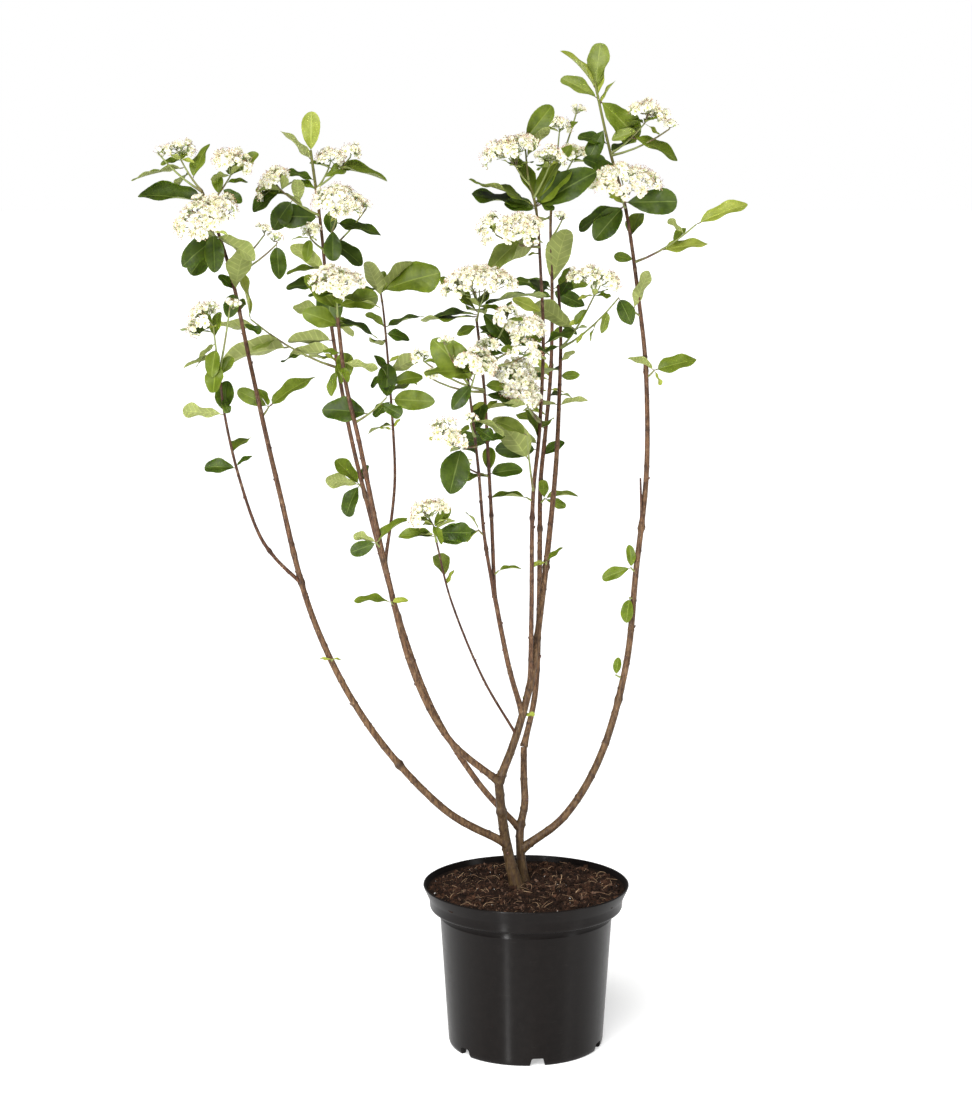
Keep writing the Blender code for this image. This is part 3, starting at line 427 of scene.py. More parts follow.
peat = Finish("Damp peat", (0.03, 0.018, 0.012), 0.92, Specular_IOR_Level=0.15)
blotch = peat.grain(150, 5, 0.65)
speck = peat.grain(900, 3, 0.7)
peat.feed(Base_Color=peat.ramp(blotch * 0.6 + speck * 0.4, [
    (0.36, (0.003, 0.0015, 0.001)), (0.54, (0.014, 0.007, 0.004)), (0.72, (0.075, 0.038, 0.020))]))
peat.bump(speck * 0.6 + blotch * 0.4, 0.7, 0.0012)
clod = Finish("Peat clods", (0.04, 0.02, 0.012), 0.92, Specular_IOR_Level=0.15)
speck = clod.grain(700, 3, 0.7)
clod.feed(Base_Color=clod.ramp(clod.grain(60, 4, 0.6) * 0.6 + speck * 0.4, [
    (0.38, (0.006, 0.003, 0.002)), (0.52, (0.030, 0.014, 0.008)), (0.66, (0.105, 0.050, 0.028))]))
clod.bump(speck, 0.6, 0.001)
chip = Finish("Bark chips", (0.11, 0.062, 0.035), 0.85)
chip.feed(Base_Color=chip.ramp(chip.grain(420, 4), [
    (0.3, (0.030, 0.014, 0.008)), (0.7, (0.13, 0.065, 0.036))]))
fibre = Finish("Root fibre", (0.36, 0.22, 0.13), 0.8)
fibre.feed(Base_Color=fibre.ramp(fibre.grain(60, 2), [
    (0.35, (0.12, 0.055, 0.03)), (0.65, (0.50, 0.33, 0.19))]))
white_grain = Finish("White grain", (0.72, 0.70, 0.66), 0.8)

soil = make_soil()
soil.data.materials.append(peat.material)
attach(soil, BODY)
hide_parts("soil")

strewing = strewing_tree()
crumbs = hidden_set("Crumbs", [crumb_shape(f"crumb_{i}", i * 7.3, (1, 0.85, 0.7)) for i in range(6)])
chips = hidden_set("Chips", [crumb_shape(f"chip_{i}", 50 + i * 5.1, (2.4, 1.1, 0.45))
                             for i in range(4)])
fibres = hidden_set("Fibres", [fibre_shape(f"fibre_{i}", i) for i in range(5)])
for title, shapes, density, smallest, largest, half, tilt, material in (
        ("crumbs", crumbs, 100000, 1.0, 8.0, 0.5, math.tau, clod.material),
        ("bark_chips", chips, 13000, 0.7, 4.2, 1.2, 1.1, chip.material),
        ("root_fibres", fibres, 13000, 0.35, 1.7, 5.5, 0.6, fibre.material),
        ("white_grains", crumbs, 1400, 0.8, 2.4, 0.5, math.tau, white_grain.material)):
    start = show(f"{title}_start", soil.data.copy())
    piece = grown(start, strewing, f"compost_{title}", Shapes=shapes, Density=density,
                  Smallest=smallest, Largest=largest, Tilt=tilt, Seed=len(title),
                  Reach=(SOIL_EDGE - half * largest) * MM, Material=material)
    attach(piece, BODY)


# The trunks and boughs are young grey-brown wood, two short trunks that fork into long
# arching stems. Each is one line with its thickness, swept by a node tree that adds the
# bark's relief and dark leaf scars. Thin upper stems are darker and redder.

STEMS = (
    ("trunk_front", None, (6.0, 4.9), None,
     ((-6, 13, 158), (-19, 8, 210), (-26, 1, 252), (-31, -10, 305))),
    ("trunk_rear", None, (5.2, 3.6), None,
     ((-1, 27, 158), (-6, 27, 211), (-6, 28, 236), (-1, 36, 262), (-2, 44, 288),
      (-2, 52, 322))),
    ("outer_left", "trunk_front", (4.4, 1.6), 794,
     ((-21, 4, 224), (-94, -8, 270), (-174, -20, 367), (-231, -30, 487), (-266, -40, 634),
      (-290, -50, 752), (-309, -55, 850), (-329, -50, 913), (-340, -44, 938))),
    ("low_left", "outer_left", (2.0, 1.2), 635,
     ((-240, -32, 520), (-268, -50, 552), (-286, -65, 586), (-303, -90, 651), (-313, -110, 711),
      (-317, -118, 757))),
    ("right_centre", "trunk_front", (4.7, 1.5), 689,
     ((-30, -8, 297), (-11, -10, 350), (5, -5, 412), (16, 5, 492), (24, 15, 560),
      (32, 30, 643), (36, 45, 730), (37, 55, 788), (34, 60, 834))),
    ("left", "trunk_front", (3.9, 1.9), 678,
     ((-30, -8, 297), (-86, -20, 350), (-125, -30, 432), (-153, -40, 549), (-177, -55, 674),
      (-191, -65, 742), (-198, -75, 810))),
    ("rear", "trunk_rear", (3.4, 1.4), 615,
     ((-2, 52, 322.3), (11, 63, 384), (15, 80, 472), (16, 98, 545), (17, 115, 610),
      (23, 130, 670), (29, 143, 740), (30, 155, 825), (28, 152, 900), (33, 150, 960))),
    ("inner_left", "trunk_rear", (3.4, 1.5), 720,
     ((-7, 28, 235), (-56, 31, 291), (-105, 36, 373), (-142, 45, 476), (-175, 47, 600),
      (-195, 40, 691), (-212, 33, 802), (-221, 30, 900), (-231, 30, 979))),
    ("mid_left", "inner_left", (1.8, 1.1), 659,
     ((-155, 48, 531), (-147, 70, 589), (-145, 85, 633), (-150, 107, 710), (-157, 120, 792),
      (-161, 122, 823))),
    ("low_front", "right_centre", (1.5, 1.0), 525,
     ((-11, -10, 350), (-48, -55, 424), (-80, -108, 515), (-95, -150, 586))),
    ("front", "right_centre", (3.1, 2.5), None,
     ((-5, -8, 375), (-20, -30, 432), (-36, -55, 517))),
    ("front_left", "front", (2.0, 1.2), 653,
     ((-35, -53, 510), (-46, -80, 581), (-52, -110, 655), (-61, -135, 738),
      (-64, -140, 765))),
    ("front_right", "front", (2.2, 1.4), 638,
     ((-35, -53, 510), (-38, -65, 590), (-42, -70, 666), (-46, -76, 735), (-54, -85, 808))),
    ("centre", "right_centre", (2.7, 1.4), 612,
     ((4, -5, 408), (5, -17, 495), (6, -13, 606), (13, -3, 680), (17, 0, 774), (14, -2, 850),
      (9, -17, 915), (0, -22, 948))),
    ("right", "trunk_rear", (4.6, 1.3), 850,
     ((-4, 28, 212), (45, 30, 251), (84, 30, 321), (110, 31, 420), (120, 36, 521),
      (131, 43, 630), (130, 50, 737), (122, 50, 813), (107, 47, 912), (89, 54, 978),
      (72, 57, 1052))),
    ("dead_stub", "right", (1.6, 1.0), None,
     ((126, 40, 577), (125, 36, 600), (124, 35, 626))),
)
FLARE = 2.6
FLARE_HEIGHT = 14
STEM_STEPS = 24
COLLAR = 0.35                  # swelling of a stem's foot where it leaves another
COLLAR_LENGTH = 8


class Stem:
    """Centre line and radius of a stem from its foot to its tip, in millimetres."""

    def __init__(self, route, radii, is_trunk):
        points = [Vector(p) for p in route]
        ends = [points[0] * 2 - points[1]] + points + [points[-1] * 2 - points[-2]]
        self.curve = []
        for a, b, c, d in zip(ends, ends[1:], ends[2:], ends[3:]):
            for step in range(STEM_STEPS):
                t = step / STEM_STEPS
                self.curve.append(0.5 * (2 * b + (c - a) * t
                                         + (2 * a - 5 * b + 4 * c - d) * t ** 2
                                         + (3 * b - a - 3 * c + d) * t ** 3))
        self.curve.append(points[-1])
        self.along = [0.0]
        for a, b in zip(self.curve, self.curve[1:]):
            self.along.append(self.along[-1] + (b - a).length)
        foot, tip = radii
        self.radii = [foot + (tip - foot) * length / self.along[-1] for length in self.along]
        for i, (point, length) in enumerate(zip(self.curve, self.along)):
            if is_trunk:
                self.radii[i] += FLARE * math.exp((SOIL_TOP - point.z) / FLARE_HEIGHT)
            else:
                self.radii[i] *= 1 + COLLAR * math.exp(-length / COLLAR_LENGTH)

    def at(self, height):
        for i in range(len(self.curve) - 1):
            low, high = self.curve[i].z, self.curve[i + 1].z
            if low <= height <= high:
                t = (height - low) / (high - low)
                point = self.curve[i].lerp(self.curve[i + 1], t)
                return point, self.radii[i] + (self.radii[i + 1] - self.radii[i]) * t
        return self.curve[-1], self.radii[-1]


stems = {name: Stem(route, radii, parent is None)
         for name, parent, radii, _leafy, route in STEMS}


def lines_object(name, lines):
    """Lines of (point, radius, knot) in millimetres as edges, with two attributes."""
    points, girths, knots, edges = [], [], [], []
    for line in lines:
        edges += [(len(points) + i, len(points) + i + 1) for i in range(len(line) - 1)]
        points += [point * MM for point, _radius, _knot in line]
        girths += [radius * MM for _point, radius, _knot in line]
        knots += [knot for _point, _radius, knot in line]
    mesh = bpy.data.meshes.new(name)
    mesh.from_pydata(points, edges, [])
    mesh.attributes.new("girth", "FLOAT", "POINT").data.foreach_set("value", girths)
    mesh.attributes.new("knot", "FLOAT", "POINT").data.foreach_set("value", knots)
    return show(name, mesh)


def sweeping_tree():
    """Sweeps each line to a round stem with bark relief and a scar at each old leaf."""
    build, given = tree_of("Sweeping", [("Sides", "Int"), ("Spacing", "Float"),
                                        ("Relief", "Float"), ("Scars", "Float"),
                                        ("Material", "Material")])
    line = build.node("GeometryNodeMeshToCurve", {}, {0: given["Geometry"]})
    line = build.node("GeometryNodeCurveSplineType", {"spline_type": "POLY"}, {0: line})
    line = build.node("GeometryNodeResampleCurve", {"mode": "LENGTH"}, {
        "Curve": line, "Length": given["Spacing"]})
    length = build.node("GeometryNodeSplineParameter", output=1)
    line = build.node("GeometryNodeStoreNamedAttribute", {}, {
        "Geometry": line, "Name": "along", "Value": length})
    ring = build.node("GeometryNodeCurvePrimitiveCircle", {}, {
        "Resolution": given["Sides"], "Radius": 1.0})
    girth = build.node("GeometryNodeInputNamedAttribute", {}, {"Name": "girth"})
    stem = build.node("GeometryNodeCurveToMesh", {}, {
        "Curve": line, "Profile Curve": ring, "Scale": girth, "Fill Caps": True})
    spot = build.node("GeometryNodeInputPosition")
    fine = build.node("ShaderNodeTexNoise", {}, {"Vector": spot, "Scale": 420.0, "Detail": 3.0})
    broad = build.node("ShaderNodeTexNoise", {}, {"Vector": spot, "Scale": 60.0, "Detail": 2.0})
    wander = build.node("ShaderNodeTexNoise", {}, {"Vector": spot, "Scale": 9.0, "Detail": 0.0})
    along = build.node("GeometryNodeInputNamedAttribute", {}, {"Name": "along"})
    phase = along * given["Scars"] + wander * 2.0
    wave = build.node("ShaderNodeMath", {"operation": "COSINE"}, {0: phase * math.tau})
    knot = build.node("GeometryNodeInputNamedAttribute", {}, {"Name": "knot"})
    scar = wave.above(0.0) ** 30.0 * fine.rise(0.40, 0.60)
    scar = scar.above(knot * broad.rise(0.35, 0.55))
    relief = ((fine - 0.5) * 0.5 + (broad - 0.5)) * given["Relief"] + scar * 0.16
    shove = build.node("ShaderNodeVectorMath", {"operation": "SCALE"}, {
        0: build.node("GeometryNodeInputNormal"), "Scale": girth * relief})
    stem = build.node("GeometryNodeSetPosition", {}, {"Geometry": stem, "Offset": shove})
    stem = build.node("GeometryNodeStoreNamedAttribute", {}, {
        "Geometry": stem, "Name": "scar", "Value": scar})
    stem = build.node("GeometryNodeSetShadeSmooth", {}, {"Geometry": stem})
    return close_tree(build, build.node("GeometryNodeSetMaterial", {}, {
        "Geometry": stem, "Material": given["Material"]}))


FRESH_HEIGHTS = (0.86, 0.98)    # metres; thin wood turns green from the first to the second
bark = Finish("Young bark", (0.2, 0.13, 0.09), 0.5, Specular_IOR_Level=0.18)
girth = bark.node("ShaderNodeAttribute", {"attribute_name": "girth"}, output="Fac") / (5 * MM)
scar = bark.node("ShaderNodeAttribute", {"attribute_name": "scar"}, output="Fac")
age = bark.ramp(girth + (bark.grain(45, 3) - 0.5) * 0.5, [
    (0.22, (0.060, 0.021, 0.011)), (0.42, (0.118, 0.054, 0.028)), (0.72, (0.150, 0.085, 0.041)),
    (1.0, (0.075, 0.046, 0.019))])
height = bark.node("ShaderNodeTexCoord", output="Object")
height = bark.node("ShaderNodeSeparateXYZ", {}, {0: height}, output=2)
fresh = height.rise(*FRESH_HEIGHTS) * (1 - girth).rise(0.62, 0.74)
streak = bark.grain(480, 4, 0.65, (1, 1, 0.2))
colour = bark.blend((1 - streak).rise(0.40, 0.60) * 0.75, age, (0.028, 0.013, 0.008, 1))
fleck = bark.grain(130, 4, 0.6).rise(0.52, 0.68) * (0.45 - girth * 0.28)
colour = bark.blend(fleck, colour, (0.28, 0.19, 0.115, 1))
colour = bark.blend(fresh * 0.85, colour, (0.165, 0.195, 0.045, 1))
bark.feed(Base_Color=bark.blend(scar * 0.9, colour, (0.022, 0.012, 0.009, 1)),
          Roughness=0.34 + streak * 0.3)
bark.bump(streak, 0.6, 0.0006)

KNOTS = (                       # year rings and healed cuts: stem, height, swelling
    ("outer_left", 524, 0.35), ("outer_left", 556, 0.25), ("outer_left", 318, 0.25),
    ("inner_left", 606, 0.3), ("inner_left", 470, 0.25), ("left", 548, 0.35), ("left", 640, 0.25),
    ("rear", 560, 0.3), ("centre", 590, 0.3), ("right_centre", 532, 0.35),
    ("right_centre", 456, 0.25), ("front_left", 566, 0.3), ("front_right", 600, 0.25),
    ("right", 572, 0.5), ("right", 380, 0.25), ("right", 742, 0.3), ("low_left", 560, 0.3),
    ("trunk_front", 262, 0.2), ("trunk_rear", 240, 0.25),
)
KNOT_LENGTH = 2.6


def knotted(name, stem):
    """A stem's line, swollen and dark at its knots."""
    line = []
    for point, radius in zip(stem.curve, stem.radii):
        knot = max([math.exp(-((point.z - height) / KNOT_LENGTH) ** 2) * swelling
                    for owner, height, swelling in KNOTS if owner == name], default=0.0)
        line.append((point, radius * (1 + knot), knot * 3))
    return line


sweeping = sweeping_tree()
lines = [knotted(name, stem) for name, stem in stems.items()]
wood = grown(lines_object("stem_lines", lines), sweeping, "bark_stems", Sides=14,
             Spacing=0.0022, Relief=0.14, Scars=1 / 0.031, Material=bark.material)
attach(wood, BODY)
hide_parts(*[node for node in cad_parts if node.startswith(("trunk_", "bough_"))])


# Each old leaf's place on a bare stem has a small pointed bud, dark red-brown, pressed to
# the bark above a ridge. They wind up the stem and a node tree sets them in place.

BUD_STEP = (24, 38)
BUD_LENGTH = (2.2, 4.2)
BUD_SPREAD = 26
GOLDEN_ANGLE = 137.5


def turned_shape(shape, profile, segments, zone_value=0, place=Matrix()):
    """Adds a closed body turned round Y from (radius, height); its ends are points."""
    zone = shape.faces.layers.int["zone"]
    rings = []
    for radius, height in profile:
        if radius:
            turns = [math.tau * k / segments for k in range(segments)]
            spots = [(radius * math.cos(t), height, -radius * math.sin(t)) for t in turns]
        else:
            spots = [(0, height, 0)]
        rings.append([shape.verts.new(place @ Vector(spot)) for spot in spots])
    for low, high in zip(rings, rings[1:]):
        for k in range(segments):
            j = (k + 1) % segments
            corners = [low[k % len(low)], low[j % len(low)], high[j % len(high)],
                       high[k % len(high)]]
            face = shape.faces.new(dict.fromkeys(corners))
            face[zone] = zone_value


def zoned_shape():
    shape = bmesh.new()
    shape.faces.layers.int.new("zone")
    return shape


def bud_shape(name, width):
    """A bud one unit long above the ridge of its leaf scar."""
    shape = zoned_shape()
    turned_shape(shape, [(0, -0.1), (width * 0.8, 0.05), (width, 0.3), (width * 0.7, 0.65), (0, 1)], 6)
    ridge = Matrix.Diagonal((1.5, 0.5, 0.9, 1)) @ Matrix.Translation((0, -0.35, -0.1))
    turned_shape(shape, [(0, -0.3), (width, 0), (0, 0.3)], 6, 0, ridge)
    return shape_object(name, shape, sharp=70)


def placing_tree(title, zones):
    """Sets shapes on points, each with its turn, size and kind, and a material by zone."""
    build, given = tree_of(title, [("Shapes", "Collection")]
                           + [(zone, "Material") for zone in zones])
    turn = build.node("GeometryNodeInputNamedAttribute", {"data_type": "FLOAT_VECTOR"},
                      {"Name": "turn"})
    size = build.node("GeometryNodeInputNamedAttribute", {"data_type": "FLOAT_VECTOR"},
                      {"Name": "size"})
    kind = build.node("GeometryNodeInputNamedAttribute", {"data_type": "INT"}, {"Name": "kind"})
    picks = build.node("GeometryNodeCollectionInfo", {}, {
        "Collection": given["Shapes"], "Separate Children": True, "Reset Children": True})
    placed = build.node("GeometryNodeInstanceOnPoints", {}, {
        "Points": given["Geometry"], "Instance": picks, "Pick Instance": True,
        "Instance Index": kind, "Rotation": turn, "Scale": size})
    shape = build.node("GeometryNodeRealizeInstances", {}, {0: placed})
    part = build.node("GeometryNodeInputNamedAttribute", {"data_type": "INT"}, {"Name": "zone"})
    for index, zone in enumerate(zones):
        chosen = build.node("FunctionNodeCompare", {"data_type": "INT", "operation": "EQUAL"},
                            {2: part, 3: index})
        shape = build.node("GeometryNodeSetMaterial", {}, {
            "Geometry": shape, "Selection": chosen, "Material": given[zone]})
    return close_tree(build, shape)


def points_object(name, places):
    """Points of (point, rotation, size, kind), in millimetres, for a placing tree."""
    mesh = bpy.data.meshes.new(name)
    mesh.from_pydata([place[0] * MM for place in places], [], [])
    turns = [angle for place in places for angle in place[1].to_euler()]
    sizes = [value * MM for place in places for value in place[2]]
    kinds = [place[3] for place in places]
    mesh.attributes.new("turn", "FLOAT_VECTOR", "POINT").data.foreach_set("vector", turns)
    mesh.attributes.new("size", "FLOAT_VECTOR", "POINT").data.foreach_set("vector", sizes)
    mesh.attributes.new("kind", "INT", "POINT").data.foreach_set("value", kinds)
    return show(name, mesh)


def aimed(along, upper):
    """Rotation that turns Y along a direction and Z as near as it can to another."""
    across = along.cross(upper).normalized()
    return Matrix((across, along, across.cross(along))).transposed().to_quaternion()


draw = random.Random(3)
bud_places = []
for name, parent, _radii, leafy, _route in STEMS:
    stem = stems[name]
    reach = next((length for point, length in zip(stem.curve, stem.along)
                  if leafy and point.z > leafy), stem.along[-1])
    place, bearing = 20.0, draw.uniform(0, 360)
    while place < reach - 6:
        i = max(index for index, length in enumerate(stem.along[:-1]) if length <= place)
        ahead = (stem.curve[i + 1] - stem.curve[i]).normalized()
        point = stem.curve[i] + ahead * (place - stem.along[i])
        side = ahead.orthogonal().normalized()
        side.rotate(Quaternion(ahead, math.radians(bearing)))
        spread = math.radians(BUD_SPREAD)
        along = ahead * math.cos(spread) + side * math.sin(spread)
        length = draw.uniform(*BUD_LENGTH) * (0.6 + stem.radii[i] / 8)
        bud_places.append((point + side * stem.radii[i] * 0.88, aimed(along, side),
                           Vector((length, length, length)), draw.randrange(2)))
        bearing += GOLDEN_ANGLE
        place += draw.uniform(*BUD_STEP)

bud_brown = Finish("Bud red-brown", (0.075, 0.030, 0.022), 0.5)
bud_brown.feed(Base_Color=bud_brown.ramp(bud_brown.grain(300, 2), [
    (0.35, (0.035, 0.016, 0.012)), (0.65, (0.12, 0.05, 0.035))]))
buds = grown(points_object("bud_points", bud_places), placing_tree("Bud setting", ["bud"]),
             "bark_buds", Shapes=hidden_set("Buds", [bud_shape("bud_0", 0.3),
                                                     bud_shape("bud_1", 0.22)]),
             bud=bud_brown.material)
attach(buds, BODY)


# The foliage grows by the rule of the solids: twigs from each stem, leaves along them and
# on the stem, more leaves at the buds of its spiral behind, and a flower head at a
# twig's end. The twigs are red-brown and green wood, swept like the boughs.

FOLIAGE = (
    ("outer_left", 11, (
        (884, (-6, -26, 12), (70, 240, 32), ((190, -47, 46, 50), (212, -30, 46, 50),
                                             (350, -24, 50, -40), (280, -70, 42, 0))),
        (938, (-22, 12, 31), (34, 180, 15), ((40, 71, 44, 20), (130, -20, 30, 20),
                                             (182, -8, 58, -14), (185, 0, 22, 30))),
        (937, (-45, 4, 39), (13, 180, 10), ()),
        (923, (22, 18, 30), (50, 0, 12), ((100, 70, 26, 0), (330, -25, 26, 40),
                                          (20, 12, 24, 30), (12, 42, 38, 50))),
        (856, (35, 15, 36), (15, 0, 10), ()),
        (850, (46, 15, 32), (12, 0, 20), ((285, -65, 38, 0), ))),
     ((926, 175, 11, 74, 25), (835, 170, 50, 24, 30), (833, 240, -60, 28, 30),
      (834, 300, 76, 54, 0), (800, 0, -20, 22, 40))),
    ("low_left", 12, (
        (757, (-4, -12, 46), (46, 180, 50), ((185, -10, 36, -15), (258, -68, 42, 0),
                                             (250, -60, 30, 10), (200, -38, 32, -40),
                                             (60, 75, 28, 0), (180, 8, 36, 12),
                                             (180, -14, 24, 30))),
        (756, (12, -2, 66), (13, 0, 10), ())),
     ((653, 180, 8, 34, 40), (655, 0, 45, 20, 30), (711, 175, 8, 44, -50),
      (713, 80, 80, 34, 0), (728, 300, -30, 20, 0), (752, 30, 55, 24, 50))),
    ("inner_left", 13, (
        (746, (-92, -20, 54), None, ((190, -8, 26, 15), (182, -1, 78, -40), (200, -15, 30, 30),
                                     (178, 9, 58, -35), (165, 82, 54, -12))),
        (874, (-13, -8, 12), (22, 180, 10), ((250, -60, 26, 10), )),
        (910, (-40, -10, 27), (42, 180, 45), ((175, 40, 28, -20), (270, 84, 28, 0),
                                              (200, -50, 38, 60), (180, 25, 34, 30),
                                              (185, -32, 38, 40))),
        (937, (13, 15, 23), (36, 0, 15), ((0, 35, 28, 50), (2, -3, 64, 18))),
        (939, (36, 18, 32), (20, 0, 15), ()),
        (872, (18, -48, 40), (56, 285, 25), ((350, -28, 44, 40), (100, 70, 26, 0),
                                             (265, -75, 34, 0), (345, -10, 52, 30),
                                             (30, 50, 14, -30))),
        (870, (48, -50, 48), (18, 0, 20), ())),
     ((776, 185, 4, 50, -50), (764, 180, 0, 50, -40), (744, 220, -65, 30, 10),
      (752, 190, 40, 16, 30), (752, 300, -50, 24, 0), (808, 185, 15, 40, -30),
      (837, 180, 0, 44, 15), (846, 282, -42, 62, 0), (850, 190, 44, 48, -60),
      (853, 180, 2, 42, 8), (790, 30, 20, 30, 40), (908, 195, 3, 46, 70),
      (947, 180, 25, 32, 30), (937, 170, 35, 20, 40), (976, 90, 84, 46, 0),
      (968, 175, 48, 46, -35))),
    ("left", 14, (
        (808, (0, -12, 24), (58, 270, 15), ((205, 50, 50, 65), (0, 20, 44, 60), (60, 70, 20, 0),
                                            (5, 4, 46, 15), (180, 5, 30, 10))),
        (697, (33, 14, 25), None, ((180, 11, 50, 45), (40, 20, 20, 30), (330, -20, 28, 40),
                                   (80, 40, 24, 0)))),
     ((806, 0, -14, 46, 20), (761, 0, -5, 38, -50), (757, 290, -40, 22, 0),
      (738, 100, 80, 34, 0), (800, 185, 25, 40, 60), (770, 200, 20, 20, 40))),
    ("mid_left", 15, (
        (812, (-2, 0, 14), None, ((195, 70, 44, -50), (70, 80, 28, 0), (10, 50, 50, -30),
                                  (355, 24, 70, 50), (180, 0, 30, 25))), ),
     ((672, 180, 15, 16, 30), (674, 20, 55, 14, 30), (705, 335, 0, 52, 80),
      (703, 200, -30, 26, 40), (747, 265, -65, 38, 5), (734, 195, -30, 26, 10),
      (722, 190, 70, 36, 30), (745, 20, 30, 16, 40), (734, 15, 32, 42, -60),
      (722, 0, 20, 38, 50), (784, 5, 24, 46, 15), (777, 0, -6, 28, 50),
      (783, 175, 50, 27, 30))),
    ("low_front", 16, (
        (585, (-3, -8, 18), (48, 180, 25), ((180, 8, 38, 25), (185, 0, 20, -30),
                                            (5, 0, 38, 60), (10, 32, 24, -20),
                                            (20, 50, 28, 60), (300, -30, 24, 0))), ),
     ((535, 20, 65, 18, 20), )),
    ("front_left", 17, (
        (679, (-29, -38, 10), (40, 270, 50), ((235, -64, 50, 30), (60, 50, 28, -30),
                                              (170, 55, 22, -40))),
        (690, (-5, -28, 20), (16, 270, 20), ()),
        (738, (6, -22, 20), (44, 300, 20), ((200, -45, 32, 60), (180, 48, 60, 75),
                                            (60, 75, 30, 0), (182, 12, 52, 30))),
        (745, (-24, -24, 42), (14, 180, 10), ()),
        (750, (18, 6, 30), (20, 0, 10), ())),
     ((716, 30, 40, 18, 40), (700, 330, -20, 24, 30), (690, 50, 75, 36, 10))),
    ("front_right", 18, (
        (806, (3, -14, 15), (80, 200, 6), ((180, 0, 60, 10), (175, 8, 48, 5),
                                           (180, 52, 54, 30), (95, 10, 44, 0),
                                           (30, 65, 24, -20), (5, 22, 70, 4))),
        (760, (44, -28, 28), (44, 280, 20), ((178, 2, 32, 50), (175, 10, 20, 30),
                                             (190, 62, 46, 60), (0, -5, 34, 15),
                                             (20, 10, 20, 30))),
        (762, (26, -38, 46), (25, 240, 20), ()),
        (758, (44, -40, 14), (27, 270, 40), ()),
        (733, (-62, -44, 34), (22, 200, 20), ()),
        (731, (-58, -44, 20), (17, 270, 30), ()),
        (642, (-22, 0, 8), (14, 180, 10), ())),
     ((800, 170, -20, 24, 60), (800, 10, -18, 26, 60), (793, 0, 0, 26, 15), (785, 0, -5, 26, 50),
      (728, 0, -3, 34, 40), (738, 350, 0, 28, 60), (712, 30, 40, 18, 40), (713, 0, 12, 42, -20),
      (676, 185, 15, 34, 75), (646, 90, 75, 28, 0), (644, 0, 14, 36, 60), (641, 180, 8, 34, 8),
      (680, 10, 20, 20, 40))),
    ("centre", 19, (
        (885, (-18, -28, 3), (50, 262, 30), ((185, -38, 50, 45), )),
        (878, (-46, -38, 14), (38, 250, 35), ()),
        (944, (-14, -8, 18), (64, 180, 18), ((120, 70, 26, 0), )),
        (946, (-4, 14, 44), None, ((20, 62, 40, -50), (25, 48, 50, 70))),
        (930, (16, -2, 32), (34, 0, 20), ()),
        (693, (-26, -56, 44), (48, 265, 50), ((10, 30, 18, -30), (180, -10, 26, -30))),
        (691, (-18, -58, 32), (33, 275, 60), ((330, -30, 20, 40), )),
        (618, (-8, -48, 66), None, ((180, 58, 62, -70), (190, 30, 36, 40)))),
     ((921, 185, 32, 76, 12), (920, 175, 18, 70, 24), (922, 170, 76, 56, 20),
      (922, 20, 67, 76, 25), (920, 355, 33, 74, 75), (921, 0, 48, 54, 50), (918, 190, 15, 34, 60),
      (886, 185, -25, 46, -70), (870, 150, 10, 16, 10), (808, 180, 28, 36, 60),
      (776, 185, 10, 46, 15), (672, 150, 70, 36, 0), (662, 185, 3, 46, 75),
      (668, 175, 25, 34, -50), (928, 350, -20, 24, 30))),
    ("rear", 20, (
        (950, (5, -10, 48), (27, 250, 20), ()),
        (951, (24, 2, 68), (13, 0, 10), ()),
        (880, (13, -4, 22), (14, 0, 20), ()),
        (935, (20, -20, 30), (38, 0, 15), ((180, 22, 34, 30), (10, 10, 28, 0)))),
     ((640, 15, 35, 30, 50), (684, 180, 22, 26, -15), (711, 180, 5, 18, 5), (712, 0, 0, 17, 10),
      (724, 180, 5, 42, -25), (725, 175, 60, 26, 40), (727, 80, 70, 18, 0),
      (765, 40, 50, 22, 60), (828, 10, 80, 66, -80), (822, 175, 24, 44, 40),
      (824, 5, 18, 44, 60), (822, 345, -22, 40, 75), (815, 180, 15, 22, 40))),
    ("right_centre", 21, (
        (766, (34, -50, 60), (58, 0, 5), ((180, 40, 54, -65), (180, -15, 14, 60),
                                          (200, -45, 22, 30), (20, 5, 20, 30))),
        (766, (60, -52, 58), None, ((200, -45, 16, 20), (215, -60, 22, -40),
                                    (240, -62, 26, 50), (338, -60, 32, 60)))),
     ((706, 180, 3, 40, -15), (705, 0, 18, 32, -30), (736, 0, 5, 22, 80), (751, 10, 45, 20, -40),
      (768, 180, -8, 22, 20), (790, 350, -15, 20, 40), (820, 60, 40, 34, 30),
      (832, 20, 60, 30, 20))),
    ("right", 22, (
        (859, (66, -8, 41), None, ((0, 12, 52, 38), (40, 50, 26, 30), (170, 45, 24, -40),
                                   (0, 28, 60, 42))),
        (918, (-4, -30, 6), (76, 275, 16), ((183, -12, 54, 15), (195, -46, 48, 60),
                                            (170, 50, 22, 50), (350, 2, 58, 80))),
        (975, (36, -4, 32), (46, 0, 15), ((40, 70, 26, -20), (0, -16, 56, 35),
                                          (185, -15, 30, 50), (350, -30, 20, 10))),
        (973, (62, -4, 28), (18, 0, 20), ())),
     ((862, 190, 12, 22, 80), (950, 185, -8, 34, 45), (955, 200, 25, 40, 60),
      (965, 240, -10, 36, 20), (985, 180, 22, 34, 30),
      (1002, 215, -55, 36, 50), (1032, 350, -38, 60, 60), (1033, 180, 35, 46, 45),
      (1045, 70, 80, 50, 0), (1044, 60, 75, 38, 0), (1043, 175, 60, 56, 8),
      (1036, 50, 78, 30, 10), (1026, 20, 65, 32, 0))),
)
